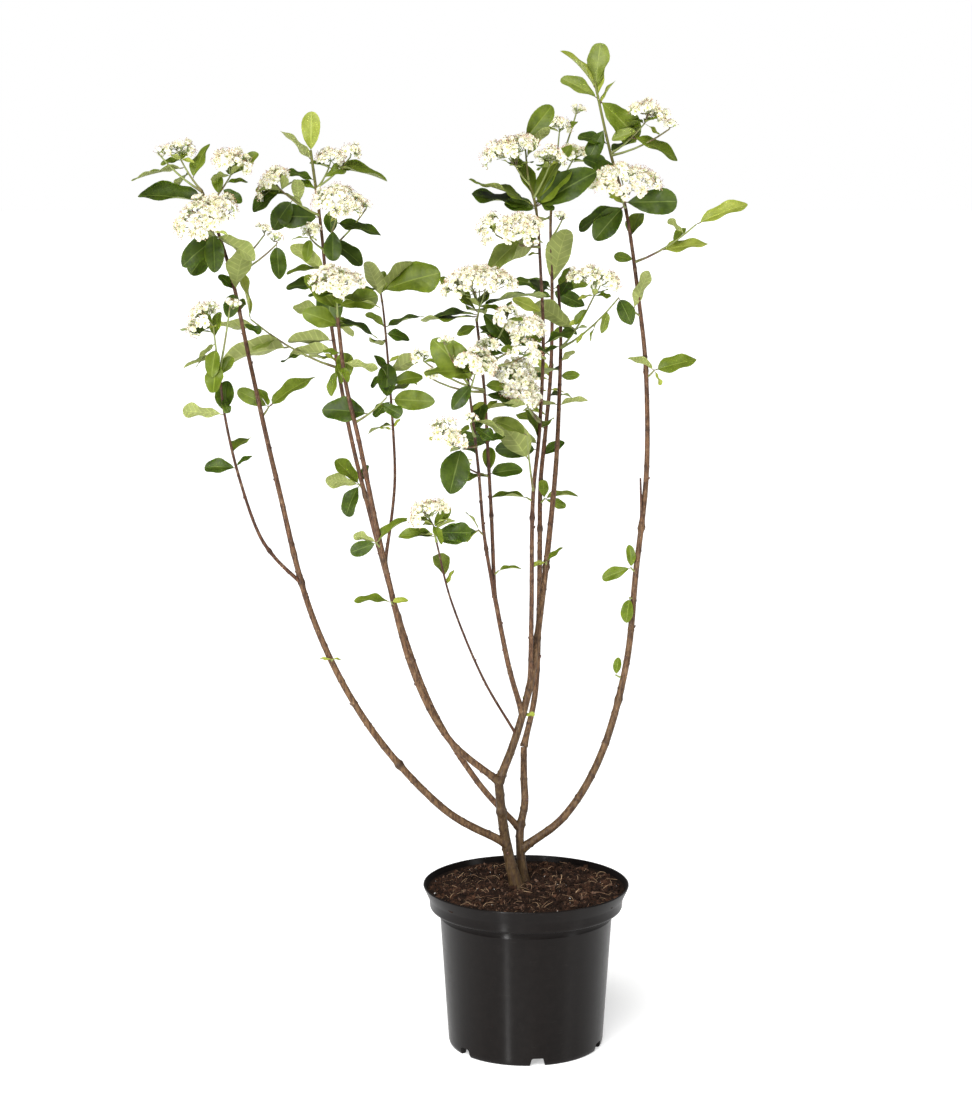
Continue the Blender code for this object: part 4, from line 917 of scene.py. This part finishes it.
SPRIGS = (
    ("outer_left", 31, 436, (2, -9, 3), ((190, 10, 14, 40), (10, 5, 10, 30))),
    ("outer_left", 32, 702, (7, 8, 10), ((176, 28, 38, 80), (140, 65, 24, 0), (10, 42, 60, 30))),
    ("inner_left", 33, 612, (-5, 5, 5), ((175, 14, 38, -60), (180, 50, 38, 40), (195, -56, 38, 40),
                                         (40, 66, 24, 10))),
    ("left", 34, 498, (-3, -7, 5), ((180, 15, 40, 5), (0, 15, 18, 50))),
    ("left", 35, 561, (-5, -6, 7), ((190, -18, 30, 75), (175, 30, 26, -50), (10, 50, 44, 15))),
    ("front_right", 36, 535, (5, -4, 5), ((5, 20, 25, 10), )),
    ("front_left", 37, 581, (-6, -4, 6), ((182, -8, 42, 65), (150, 65, 24, -40),
                                          (190, -35, 18, 10))),
    ("right_centre", 38, 534, (0, -8, 5), ((190, -5, 18, 50), (10, 45, 24, 15))),
    ("centre", 39, 608, (-7, -3, 4), ((180, 10, 38, 5), )),
    ("rear", 40, 588, (5, -6, 6), ((0, 20, 38, 15), (350, -15, 26, 50), (100, 80, 22, 0))),
    ("right", 41, 405, (-9, -3, 4), ((60, 75, 20, 20), )),
    ("right", 42, 493, (-5, -5, 2), ((240, -70, 28, 10), )),
    ("right", 43, 522, (-6, -5, 6), ((100, 80, 26, 0), (190, -15, 34, 50))),
    ("right", 44, 734, (9, -2, 9), ((175, 35, 32, -40), (0, 18, 48, 45), (340, -60, 18, 10))),
    ("right", 45, 801, (-9, -5, 7), ((20, 72, 46, -75), )),
)
SPROUTS = (                     # tiny shoots at the fork: stem, height, then the leaf
    ("right_centre", 384, 110, 65, 10, 20),
    ("right_centre", 372, 8, 5, 14, 40),
)
TWIG_RADIUS = (1.3, 0.8)
TWIG_SAG = 0.06
TWIG_POINTS = 6
LEAF_WIDTH = (0.44, 0.62)
LEAF_DROOP = (0.05, 0.30)
SPIRAL_STEP = 18
SPIRAL_STOP = 40
REAR_SECTOR = (25, 155)
LEAVES_FROM = 0.25
CLUSTER_WIDTH = 30
CLUSTER_FILL = 0.8
HEAD_RISE = 0.30               # rise of a head's edge over its foot, of its width
DOME = 0.22                    # further rise of its middle
SPREAD = 1.08
RUGGED = 1.5
SPIRAL_LIFT = (-15, 45)
SPIRAL_LENGTH = (34, 52)
BRACTS = 3                     # small leaves at the foot of a flower head
BRACTS_FROM = 20               # on heads at least this wide
BRACT_LENGTH = (15, 27)
BRACT_LIFT = (-5, 55)
REAR_TINTS = {"old": 0.45, "mid": 0.43, "pale": 0.08, "young": 0.04}
SHORT_LEAF = 20                # shorter leaves are young ones
LEAF_TINTS = (                 # tint, stem, then (height, bearing); all the others are "mid"
    ("old", "outer_left", ((926, 175), (923, 330), (884, 190), (884, 212), (884, 280), (835, 170),
                           (850, 285), (833, 240), (800, 0))),
    ("old", "inner_left", ((746, 190), (837, 180), (846, 282), (908, 195), (947, 180), (910, 200),
                           (910, 185), (872, 350), (872, 100), (872, 265), (872, 345), (612, 195),
                           (612, 40))),
    ("old", "left", ((808, 180), (697, 180), (697, 330), (697, 80), (806, 0), (561, 190))),
    ("old", "mid_left", ((812, 180), (703, 200), (747, 265), (734, 195), (722, 190), (784, 5),
                         (777, 0), (672, 180), (674, 20))),
    ("old", "low_left", ((757, 180), (653, 180), (655, 0), (713, 80), (728, 300))),
    ("old", "low_front", ((585, 5), )),
    ("old", "centre", ((920, 175), (920, 355), (918, 190), (928, 350), (776, 185), (662, 185), (693, 180))),
    ("old", "front_left", ((679, 235), (738, 200), (700, 330), (690, 50), (716, 30), (581, 182))),
    ("old", "front_right", ((806, 175), (806, 5), (760, 178), (760, 175), (760, 190), (760, 0),
                            (800, 10), (793, 0), (728, 0), (676, 185), (644, 0), (680, 10))),
    ("old", "rear", ((822, 175), (822, 345), (815, 180), (935, 180), (640, 15))),
    ("old", "right_centre", ((766, 338), (768, 180), (790, 350), (820, 60))),
    ("old", "right", ((918, 183), (918, 195), (918, 350), (955, 200), (965, 240), (985, 180),
                      (1002, 215))),
    ("pale", "outer_left", ((938, 182), )),
    ("pale", "inner_left", ((746, 182), (746, 200), (746, 178), (776, 185), (764, 180), (910, 270),
                            (968, 175), (612, 175))),
    ("pale", "left", ((761, 0), (561, 175))),
    ("pale", "mid_left", ((812, 195), (734, 15), (783, 175))),
    ("pale", "low_left", ((711, 175), )),
    ("pale", "low_front", ((585, 185), )),
    ("pale", "centre", ((885, 185), (946, 20), (886, 185), (618, 190))),
    ("pale", "front_right", ((713, 0), )),
    ("pale", "rear", ((724, 180), (588, 0))),
    ("pale", "right_centre", ((766, 215), (766, 240), (706, 180), (705, 0), (751, 10))),
    ("pale", "right", ((859, 170), (975, 185), (1033, 180), (1045, 70), (1044, 60), (801, 20))),
    ("young", "inner_left", ((746, 165), (850, 190), (976, 90))),
    ("young", "mid_left", ((745, 20), )),
    ("young", "centre", ((808, 180), )),
    ("young", "rear", ((725, 175), )),
    ("young", "right", ((859, 0), (918, 170), (975, 350), (1043, 175), (1036, 50), (1026, 20))),
)
own_tints = {(stem, *place): tint for tint, stem, places in LEAF_TINTS for place in places}


def on_twig(start, end, t):
    """A point of a twig, which sags a little between its ends."""
    sag = TWIG_SAG * (end - start).length
    return start.lerp(end, t) - Vector((0, 0, 4 * sag * t * (1 - t)))


class Plant:
    """All that grows from the stems: twig lines, leaves and flower heads."""

    def __init__(self):
        self.twigs = []
        self.leaves = []
        self.heads = []
        self.paint = random.Random(5)
        self.fine = random.Random(8)

    def add_leaf(self, draw, foot, bearing, lift, length, face, place=None):
        """A leaf; place is its stem and height, which with its bearing tell its tint."""
        width = draw.uniform(*LEAF_WIDTH)
        droop = draw.uniform(*LEAF_DROOP)
        if length < SHORT_LEAF:
            tint = "young"
        elif place:
            tint = own_tints.get((*place, bearing), "mid")
        else:
            tint = self.paint.choices(list(REAR_TINTS), REAR_TINTS.values())[0]
        self.leaves.append((foot, bearing, lift, length, face, width, droop, tint))

    def add_head(self, draw, foot, width, bearing, lean):
        """Middles of the head's clusters, spread by the golden angle on a leaning dome."""
        face = math.radians(bearing)
        tilt = Matrix.Rotation(math.radians(lean), 3, Vector((-math.sin(face), math.cos(face), 0)))
        count = max(1, round((width / CLUSTER_WIDTH) ** 2 * CLUSTER_FILL))
        spread = max(0.0, (width - CLUSTER_WIDTH) / 2)
        turn = draw.uniform(0, 360)
        places = []
        for i in range(count):
            out = spread * math.sqrt((i + 0.5) / count) * SPREAD if count > 1 else 0.0
            angle = math.radians(turn + GOLDEN_ANGLE * i)
            rise = HEAD_RISE * width + DOME * width * (1 - (2 * out / width) ** 2)
            rise += draw.uniform(-RUGGED, RUGGED)
            places.append(Vector((out * math.cos(angle), out * math.sin(angle), rise)))
        self.heads.append((foot, width, tilt, places))
        if width > BRACTS_FROM:
            turn = self.fine.uniform(0, 360)
            for i in range(BRACTS):
                self.add_leaf(self.fine, foot, turn + 360 / BRACTS * i + self.fine.uniform(-30, 30),
                              self.fine.uniform(*BRACT_LIFT), self.fine.uniform(*BRACT_LENGTH),
                              self.fine.uniform(-40, 40), ("bract", 0))

    def add_line(self, start, end):
        line = []
        for i in range(TWIG_POINTS):
            t = i / (TWIG_POINTS - 1)
            radius = TWIG_RADIUS[0] + (TWIG_RADIUS[1] - TWIG_RADIUS[0]) * t
            line.append((on_twig(start, end, t), radius * (1.3 if i == 0 else 1), 0.0))
        self.twigs.append(line)

    def add_twig(self, draw, start, reach, head, leaves, place):
        end = start + Vector(reach)
        self.add_line(start, end)
        if head:
            self.add_head(draw, end, *head)
        for index, leaf in enumerate(leaves):
            t = LEAVES_FROM + (1 - LEAVES_FROM) * (index + 1) / len(leaves)
            self.add_leaf(draw, on_twig(start, end, t), *leaf, place)

    def add_spiral(self, draw, stem, bottom, top):
        bearing = draw.uniform(0, 360)
        height = bottom + SPIRAL_STEP
        while height < top - SPIRAL_STOP:
            bearing = (bearing + GOLDEN_ANGLE) % 360
            lift = draw.uniform(*SPIRAL_LIFT)
            length = draw.uniform(*SPIRAL_LENGTH)
            if REAR_SECTOR[0] < bearing < REAR_SECTOR[1]:
                self.add_leaf(draw, stem.at(height)[0], bearing, lift, length, 0)
            height += SPIRAL_STEP


plant = Plant()
for stem_name, seed, height, reach, leaves in SPRIGS:
    draw = random.Random(seed)
    start = stems[stem_name].at(height)[0]
    end = start + Vector(reach)
    plant.add_line(start, end)
    for leaf in leaves:
        plant.add_leaf(draw, end - (end - start).normalized() * 0.8, *leaf, (stem_name, height))
leafy_from = {name: leafy for name, _parent, _radii, leafy, _route in STEMS}
for name, seed, twigs, leaves in FOLIAGE:
    draw = random.Random(seed)
    stem = stems[name]
    for height, reach, head, twig_leaves in twigs:
        plant.add_twig(draw, stem.at(height)[0], reach, head, twig_leaves, (name, height))
    for height, *leaf in leaves:
        plant.add_leaf(draw, stem.at(height)[0], *leaf, (name, height))
    plant.add_spiral(draw, stem, leafy_from[name], stem.curve[-1].z)
draw = random.Random(6)
for stem_name, height, *leaf in SPROUTS:
    point, radius = stems[stem_name].at(height)
    plant.add_leaf(draw, point, *leaf)

twig_skin = Finish("Twig skin", (0.13, 0.07, 0.045), 0.55)
twig_skin.feed(Base_Color=twig_skin.ramp(twig_skin.grain(38, 3), [
    (0.34, (0.085, 0.036, 0.020)), (0.43, (0.140, 0.125, 0.036)), (0.54, (0.190, 0.225, 0.058))]))
twig_skin.bump(twig_skin.grain(600, 3), 0.3, 0.0004)
twigs = grown(lines_object("twig_lines", plant.twigs), sweeping, "bark_twigs", Sides=8,
              Spacing=0.0016, Relief=0.14, Scars=1 / 0.017, Material=twig_skin.material)
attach(twigs, BODY)
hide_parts(*[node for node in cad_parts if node.startswith("sprig_")])


# A leaf is a thin oval blade with a toothed edge and a wedge foot on a short stalk,
# folded a little along its pale midrib and quilted between its side veins. A dozen
# blades of different bend are modelled, and a node tree sets one on each leaf's place.

BLADE_HALF = (1.0, 0.72, 0.40, 0.045)
BLADE_COLUMNS = [-v for v in BLADE_HALF] + list(BLADE_HALF[::-1])
STALK_ROWS = 2
VEINS = 8
VEIN_PARTS = (0.0, 0.16, 0.58)  # rows of a side vein and of the blade up to the next
VEIN_ROWS = len(VEIN_PARTS)
BLADE_ROWS = STALK_ROWS + VEINS * VEIN_ROWS
STALK_SHARE = 0.09
STALK_HALF = 0.018
STALK_THICK = 0.018
BLADE_THICK = 0.0075
VEIN_SLANT = 0.16
VEIN_RELIEF = 0.0065
TOOTH = 0.011
DROOPS = (0.09, 0.15, 0.21, 0.27)
HABITS = (                      # fold, edge's wave, twist in degrees, tip's curl, outline
    (0.15, 0.08, 8, 0.02, (0.78, 0.52)),
    (0.06, 0.14, -9, -0.06, (0.92, 0.50)),
    (0.26, 0.07, 4, 0.07, (0.66, 0.60)),
    (0.12, 0.10, 14, 0.03, (0.68, 0.70)),
)
BLADE_ZONES = ["upper", "under", "rib", "vein", "stalk"]


def thin_sheet(shape, rows, columns, spot, depth, paint):
    """Adds a closed thin sheet, whose two skins meet at its outline."""
    zone = shape.faces.layers.int["zone"]
    upper = [[shape.verts.new(spot(i, k)) for k in range(columns)] for i in range(rows)]
    under = [[shape.verts.new(vert.co - depth(i))
              if 0 < i < rows - 1 and 0 < k < columns - 1 else vert
              for k, vert in enumerate(row)] for i, row in enumerate(upper)]
    for i in range(rows - 1):
        for k in range(columns - 1):
            for skin, grid in enumerate((upper, under)):
                a, b, c, d = grid[i][k], grid[i][k + 1], grid[i + 1][k + 1], grid[i + 1][k]
                mirrored = (k > 0) == (i == 0)
                for corners in ((a, b, d), (b, c, d)) if mirrored else ((a, b, c), (a, c, d)):
                    face = shape.faces.new(corners[::-1] if skin else corners)
                    face[zone] = paint(i, k, skin)


def blade_shape(name, droop, habit, seed):
    """One leaf, a unit long along Y, with its upper side to +Z."""
    fold, wave, twist, curl, (foot_power, tip_power) = habit
    widest = foot_power / (foot_power + tip_power)
    fullest = widest ** foot_power * (1 - widest) ** tip_power
    draw = random.Random(seed)
    phase = draw.uniform(0, math.tau)
    shape = zoned_shape()

    def spot(i, k):
        v = BLADE_COLUMNS[k]
        vein, part = divmod(max(0, i - STALK_ROWS), VEIN_ROWS)
        s = (vein + VEIN_PARTS[part]) / VEINS
        t = min(1.0, s + VEIN_SLANT * abs(v) * 4 * s * (1 - s))
        u = STALK_SHARE * min(1.0, i / STALK_ROWS) + (1 - STALK_SHARE) * t
        half = 0.5 * t ** foot_power * (1 - t) ** tip_power / fullest
        half = max(half, STALK_HALF * (1 - t) + 0.004)
        if abs(v) == 1 and part and 0 < s < 0.97:
            half += TOOTH / part
        x = v * half
        z = fold * abs(x) * (1 - 0.5 * t) + wave * half * v * v * math.sin(phase + 10 * t + v)
        if part == VEIN_ROWS - 1:
            z += VEIN_RELIEF * math.sin(math.pi * abs(v)) * min(1.0, 3 * half)
        if s > 0 and abs(v) < 0.1:
            z -= BLADE_THICK / 2
        turn = math.radians(twist) * u * u
        x, z = x * math.cos(turn) - z * math.sin(turn), x * math.sin(turn) + z * math.cos(turn)
        z -= droop * u * u + curl * max(0.0, u - 0.6) ** 2 * 3
        return Vector((x, u * (1 - 0.1 * droop), z))

    def depth(i):
        return Vector((0, 0, STALK_THICK if i <= STALK_ROWS else BLADE_THICK))

    def paint(i, k, skin):
        if i < STALK_ROWS:
            return BLADE_ZONES.index("stalk")
        if skin and ((i - STALK_ROWS) % VEIN_ROWS == 0 or k == len(BLADE_HALF) - 1):
            return BLADE_ZONES.index("vein")
        return BLADE_ZONES.index("rib") if k == len(BLADE_HALF) - 1 else skin

    thin_sheet(shape, BLADE_ROWS + 1, len(BLADE_COLUMNS), spot, depth, paint)
    return shape_object(name, shape, sharp=75)


def leaf_turn(bearing, lift, face):
    """Rotation of a leaf: its midrib along Y, its upper side to Z."""
    flat = math.cos(math.radians(lift))
    along = Vector((flat * math.cos(math.radians(bearing)),
                    flat * math.sin(math.radians(bearing)), math.sin(math.radians(lift))))
    across = Vector((-math.sin(math.radians(bearing)), math.cos(math.radians(bearing)), 0))
    upper = along.cross(across)
    roll = math.radians(math.copysign(1, math.cos(math.radians(bearing))) * face)
    return aimed(along, upper * math.cos(roll) - across * math.sin(roll))


def blade_finish(name, dark, light, roughness, bump):
    finish = Finish(name, light, roughness, Specular_IOR_Level=0.2, Subsurface_Weight=0.15,
                    Subsurface_Scale=0.001, Subsurface_Radius=(0.7, 1.0, 0.25))
    mottle = finish.grain(70, 4, 0.6)
    finish.feed(Base_Color=finish.ramp(mottle, [(0.35, dark), (0.65, light)]),
                Roughness=roughness - 0.06 + mottle * 0.14)
    return finish.bump(finish.grain(1400, 2, 0.5), bump, 0.0003).material


TINTS = {                       # dark and light of the upper side, then of the under side
    "old": ((0.022, 0.040, 0.002), (0.050, 0.080, 0.005), (0.145, 0.180, 0.048),
            (0.195, 0.235, 0.070)),
    "mid": ((0.078, 0.112, 0.007), (0.134, 0.175, 0.016), (0.168, 0.198, 0.050),
            (0.225, 0.255, 0.074)),
    "pale": ((0.116, 0.150, 0.020), (0.180, 0.218, 0.040), (0.193, 0.219, 0.062),
             (0.256, 0.286, 0.092)),
    "young": ((0.185, 0.222, 0.024), (0.310, 0.345, 0.062), (0.245, 0.280, 0.066),
              (0.320, 0.360, 0.106)),
}

blades = hidden_set("Blades", [
    blade_shape(f"blade_{i:02d}", DROOPS[i // len(HABITS)], HABITS[i % len(HABITS)], i)
    for i in range(len(DROOPS) * len(HABITS))])
leaf_tree = placing_tree("Leaf setting", BLADE_ZONES)
leaf_stalk = Finish("Leaf stalk", (0.12, 0.11, 0.05), 0.5)
leaf_stalk.feed(Base_Color=leaf_stalk.ramp(leaf_stalk.grain(30, 2), [
    (0.4, (0.10, 0.045, 0.035)), (0.6, (0.17, 0.20, 0.06))]))
draw = random.Random(4)
slimness = {"old": 0.98, "mid": 0.90, "pale": 0.84, "young": 0.72}
sprays = {tint: [] for tint in TINTS}
for foot, bearing, lift, length, face, width, droop, tint in plant.leaves:
    level = min(range(len(DROOPS)), key=lambda i: abs(DROOPS[i] - droop))
    kind = level * len(HABITS) + draw.randrange(len(HABITS))
    size = Vector((length * width * slimness[tint], length, length))
    sprays[tint].append((foot, leaf_turn(bearing, lift, face), size, kind))
for tint, places in sprays.items():
    upper_dark, upper_light, under_dark, under_light = TINTS[tint]
    upper = blade_finish(f"Leaf {tint} upper", upper_dark, upper_light, 0.42, 0.12)
    under = blade_finish(f"Leaf {tint} under", under_dark, under_light, 0.62, 0.08)
    rib = blade_finish(f"Leaf {tint} midrib", [c * 1.3 for c in upper_light],
                       [(a + b) / 2 for a, b in zip(upper_light, under_light)], 0.5, 0.05)
    vein = blade_finish(f"Leaf {tint} veins", under_light, [c * 1.35 for c in under_light],
                        0.6, 0.05)
    leaves = grown(points_object("leaf_points", places), leaf_tree, f"leaves_{tint}",
                   Shapes=blades, upper=upper, under=under, rib=rib, vein=vein,
                   stalk=leaf_stalk.material)
    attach(leaves, BODY)
    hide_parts(*[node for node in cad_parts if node.startswith("foliage_")])


# A flower head is a domed corymb. Green stalks fork from the twig's end to each cluster
# and then to each flower. A flower has five round cupped petals, cream white, round a
# yellow-green disc with long pinkish stamens, and the last ones are still round buds.

FLOWER_WIDTH = 10.2
UMBEL_WIDTH = 15.0             # a head is many small umbels of a few flowers each
UMBEL_FILL = 1.0
UMBEL_FLOWERS = (4, 7)
UMBEL_SPREAD = 6.0
UMBEL_STALK = 6.5
CAP_ANGLE = 66                 # lean of the umbels at a head's edge, in degrees
CAP_FOOT = 0.26                # rise of a head's edge over its foot, of its width
CAP_DOME = 0.22                # further rise of its middle
UMBEL_JITTER = 3.0
HUB_SHARE = 0.45               # where a cluster's stalk forks, of its length
STALK_RADII = (0.75, 0.48, 0.32)
PETAL_REACH = (0.14, 0.50, 0.86, 1.04)
PETAL_HALF = (0.08, 0.40, 0.42, 0.10)
STAMENS = 8
HEART_ZONES = ["filament", "anther", "disc", "calyx"]


def whorl_shape(name, lift, cup, seed):
    """The five petals of an open flower, a unit in radius, facing +Z."""
    draw = random.Random(seed)
    shape = zoned_shape()
    for i in range(5):
        spin = (Matrix.Rotation(math.tau * i / 5 + draw.uniform(-0.14, 0.14), 3, "Z")
                @ Matrix.Rotation(math.radians(lift + draw.uniform(-14, 14)), 3, "X"))
        size = draw.uniform(0.86, 1.06)
        ripple = draw.uniform(-0.08, 0.08)

        def spot(row, column):
            v = column - 1
            reach = PETAL_REACH[row] - 0.06 * v * v * row / 3
            z = cup * ((reach - 0.35) ** 2 + v * v * PETAL_HALF[row]) + ripple * v
            return spin @ Vector((v * PETAL_HALF[row], reach, z)) * size

        thin_sheet(shape, len(PETAL_REACH), 3, spot, lambda row: spin @ Vector((0, 0, 0.06)),
                   lambda row, column, skin: 0)
    return shape_object(name, shape, sharp=100)


def ball_shape(name, seed):
    """The petals of a round bud, folded over each other."""
    shape = zoned_shape()
    profile = [(0, 0.0), (0.28, 0.12), (0.44, 0.42), (0.34, 0.76), (0, 0.90)]
    turned_shape(shape, profile, 8, 0, Matrix.Rotation(math.radians(90), 4, "X"))
    for vert in shape.verts:
        angle = math.atan2(vert.co.y, vert.co.x)
        vert.co *= 1 + 0.08 * math.cos(4 * angle + seed)
    return shape_object(name, shape, sharp=100)


def heart_shape(name, opened, seed):
    """Disc, stamens and calyx of a flower; a bud has only the calyx."""
    draw = random.Random(seed)
    shape = zoned_shape()
    stand = Matrix.Rotation(math.radians(90), 4, "X")
    turned_shape(shape, [(0, -0.6), (0.13, -0.45), (0.30, 0.0), (0, 0.05)], 5,
                 HEART_ZONES.index("calyx"), stand)
    if opened:
        turned_shape(shape, [(0, -0.05), (0.26, 0.06), (0, 0.24)], 5,
                     HEART_ZONES.index("disc"), stand)
        for i in range(STAMENS):
            angle = math.tau * i / STAMENS + draw.uniform(-0.3, 0.3)
            out = Vector((math.cos(angle), math.sin(angle), 0))
            root = out * 0.16 + Vector((0, 0, 0.05))
            tip = out * draw.uniform(0.30, 0.72) + Vector((0, 0, draw.uniform(0.45, 0.85)))
            turn = (tip - root).to_track_quat("Y", "Z").to_matrix().to_4x4()
            place = Matrix.Translation(root) @ turn
            length = (tip - root).length
            turned_shape(shape, [(0, 0), (0.028, length / 3), (0, length)], 3,
                         HEART_ZONES.index("filament"), place)
            turned_shape(shape, [(0, length - 0.1), (0.12, length), (0, length + 0.1)], 3,
                         HEART_ZONES.index("anther"), place)
    return shape_object(name, shape, sharp=60)


petal = Finish("Petal cream white", (0.86, 0.84, 0.74), 0.6, Subsurface_Weight=0.25,
               Subsurface_Scale=0.0015, Subsurface_Radius=(1.0, 1.0, 0.6),
               Specular_IOR_Level=0.25)
petal.feed(Base_Color=petal.ramp(petal.grain(120, 3), [
    (0.33, (0.86, 0.86, 0.56)), (0.50, (0.93, 0.92, 0.72)), (0.68, (0.97, 0.96, 0.88))]))
disc = Finish("Flower disc", (0.50, 0.52, 0.14), 0.6)
anther = Finish("Anther", (0.45, 0.24, 0.17), 0.7)
anther.feed(Base_Color=anther.ramp(anther.grain(90, 2), [
    (0.38, (0.17, 0.065, 0.035)), (0.50, (0.50, 0.24, 0.15)), (0.64, (0.70, 0.50, 0.32))]))
calyx = Finish("Calyx green", (0.30, 0.36, 0.12), 0.6)
stalk = Finish("Flower stalk", (0.16, 0.22, 0.06), 0.55)
stalk.feed(Base_Color=stalk.ramp(stalk.grain(70, 3), [
    (0.38, (0.11, 0.075, 0.04)), (0.58, (0.20, 0.25, 0.08))]))

WHORLS = ((-22, 0.45), (-4, 0.5), (14, 0.55), (34, 0.7))
OPEN_KINDS = (0, 0, 1, 1, 2, 3)
SHUT_KINDS = (3, 4, 5)
whorls = [whorl_shape(f"bloom_{i}", lift, cup, i) for i, (lift, cup) in enumerate(WHORLS)]
hearts = [heart_shape(f"heart_{i}", i < len(WHORLS), i) for i in range(len(WHORLS) + 2)]
whorls += [ball_shape(f"bloom_{i}", i) for i in (len(WHORLS), len(WHORLS) + 1)]

def stalk_line(low, high, radius, sag):
    return [(low, radius, 0.0), (low.lerp(high, 0.5) + sag, radius, 0.0), (high, radius, 0.0)]


def fan(count, turn, spread, limit):
    """Lean, distance and bearing of each of a few things set evenly on a cap."""
    for i in range(count):
        lean = math.radians(limit) * math.sqrt((i + 0.5) / count)
        out = spread * math.sin(lean) / math.sin(math.radians(limit))
        angle = math.radians(turn + GOLDEN_ANGLE * i)
        yield lean, out, Vector((math.cos(angle), math.sin(angle), 0))


draw = random.Random(9)
stalk_lines, flowers = [], []
for foot, width, tilt, places in plant.heads:
    hubs = [foot + tilt @ (place * HUB_SHARE) for place in places]
    sag = tilt @ Vector((0, 0, -0.03 * width))
    for hub in hubs:
        stalk_lines.append(stalk_line(foot, hub, STALK_RADII[0], sag))
    count = max(1, round((width / UMBEL_WIDTH) ** 2 * UMBEL_FILL))
    spread = max(0.0, width / 2 - UMBEL_WIDTH * 0.12)
    flat = math.cos(math.radians(CAP_ANGLE))
    for lean, out, ray in fan(count, draw.uniform(0, 360), spread, CAP_ANGLE if count > 1 else 1):
        rise = width * (CAP_FOOT + CAP_DOME * (math.cos(lean) - flat) / (1 - flat))
        middle = ray * out + Vector((0, 0, rise))
        middle += Vector([draw.uniform(-UMBEL_JITTER, UMBEL_JITTER) for _axis in range(3)])
        lean += math.radians(draw.uniform(-12, 12))
        umbel = tilt @ (ray * math.sin(lean) + Vector((0, 0, math.cos(lean))))
        middle = foot + tilt @ middle
        root = middle - umbel * UMBEL_STALK
        hub = min(hubs, key=lambda point: (point - root).length)
        stalk_lines.append(stalk_line(hub, root, STALK_RADII[1], sag))
        stand = umbel.to_track_quat("Z", "Y")
        for lean, out, ray in fan(draw.randint(*UMBEL_FLOWERS), draw.uniform(0, 360),
                                  UMBEL_SPREAD, 52):
            lean += math.radians(draw.uniform(-16, 16))
            axis = stand @ (ray * math.sin(lean) + Vector((0, 0, math.cos(lean))))
            place = middle + stand @ (ray * out + Vector((0, 0, draw.uniform(-1.6, 0.8) - out * 0.3)))
            stalk_lines.append(stalk_line(root, place - axis * 2.2, STALK_RADII[2], sag * 0))
            shut = draw.random() < (0.6 if width < 17 else 0.12)
            kind = draw.choice(SHUT_KINDS if shut else OPEN_KINDS)
            spin = Quaternion((0, 0, 1), draw.uniform(0, math.tau))
            size = FLOWER_WIDTH / 2 * draw.uniform(0.86, 1.12)
            flowers.append((place, axis.to_track_quat("Z", "Y") @ spin,
                            Vector((size, size, size)), kind))

petals = grown(points_object("petal_points", flowers), placing_tree("Petal setting", ["petal"]),
               "blossom_petals", Shapes=hidden_set("Whorls", whorls), petal=petal.material)
hearts = grown(points_object("heart_points", flowers), placing_tree("Heart setting", HEART_ZONES),
               "blossom_hearts", Shapes=hidden_set("Hearts", hearts), filament=petal.material,
               anther=anther.material, disc=disc.material, calyx=calyx.material)
stalks = grown(lines_object("stalk_lines", stalk_lines), sweeping, "flower_stalks", Sides=5,
               Spacing=0.0035, Relief=0.08, Scars=0.0, Material=stalk.material)
for piece in (petals, hearts, stalks):
    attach(piece, BODY)


# The picture is taken in a plain studio: a pale floor that meets a white backdrop, one
# broad soft light from the upper right, a glow from all round, and two tall soft boxes.

FLOOR_SIZE = 60
BACKDROP = 1.0
GLOW = 0.20
FLOOR_GLOW = 0.46
CAMERA_PLACE = (-0.0441, -2.8, 1.0)
CAMERA_DROP = 9.16
LENS = 85.4

floor_shape = bmesh.new()
bmesh.ops.create_grid(floor_shape, x_segments=1, y_segments=1, size=FLOOR_SIZE / 2)
floor_mesh = bpy.data.meshes.new("floor")
floor_shape.to_mesh(floor_mesh)
floor_shape.free()
pale = Finish("Pale floor", (0.86, 0.86, 0.86), 0.9, Specular_IOR_Level=0.1,
              Emission_Color=(1, 1, 1, 1), Emission_Strength=FLOOR_GLOW)
floor = show("floor", floor_mesh, [pale.material])

world = bpy.data.worlds.new("Studio")
world.use_nodes = True
backdrop = Build(world.node_tree)
seen = backdrop.node("ShaderNodeLightPath", output="Is Camera Ray")
strength = seen * (BACKDROP - GLOW) + GLOW
background = world.node_tree.nodes["Background"]
background.inputs["Color"].default_value = (1, 1, 1, 1)
world.node_tree.links.new(strength.socket, background.inputs["Strength"])
bpy.context.scene.world = world
bpy.context.scene.view_settings.view_transform = "Standard"


def add_light(name, kind, place, aim, power, **settings):
    data = bpy.data.lights.new(name, kind)
    data.energy = power
    for key, value in settings.items():
        setattr(data, key, value)
    light = bpy.data.objects.new(name, data)
    light.location = place
    light.rotation_euler = (Vector(place) - Vector(aim)).to_track_quat("Z", "Y").to_euler()
    bpy.context.scene.collection.objects.link(light)


add_light("broad", "SUN", (-0.8, -2.2, 3.0), (0, 0, 0.5), 3.6, angle=math.radians(42))
add_light("left_box", "AREA", (-1.0, -2.1, 0.3), (0, 0, 0.1), 34, shape="RECTANGLE", size=0.09,
          size_y=0.5)
add_light("right_box", "AREA", (2.1, -1.1, 1.0), (0, 0, 0.4), 16, shape="RECTANGLE", size=0.6,
          size_y=1.8)

camera_data = bpy.data.cameras.new("camera")
camera_data.lens = LENS
camera_data.sensor_width = 36
camera = bpy.data.objects.new("camera", camera_data)
camera.location = CAMERA_PLACE
camera.rotation_euler = (math.radians(90 - CAMERA_DROP), 0, 0)
bpy.context.scene.collection.objects.link(camera)
bpy.context.scene.camera = camera
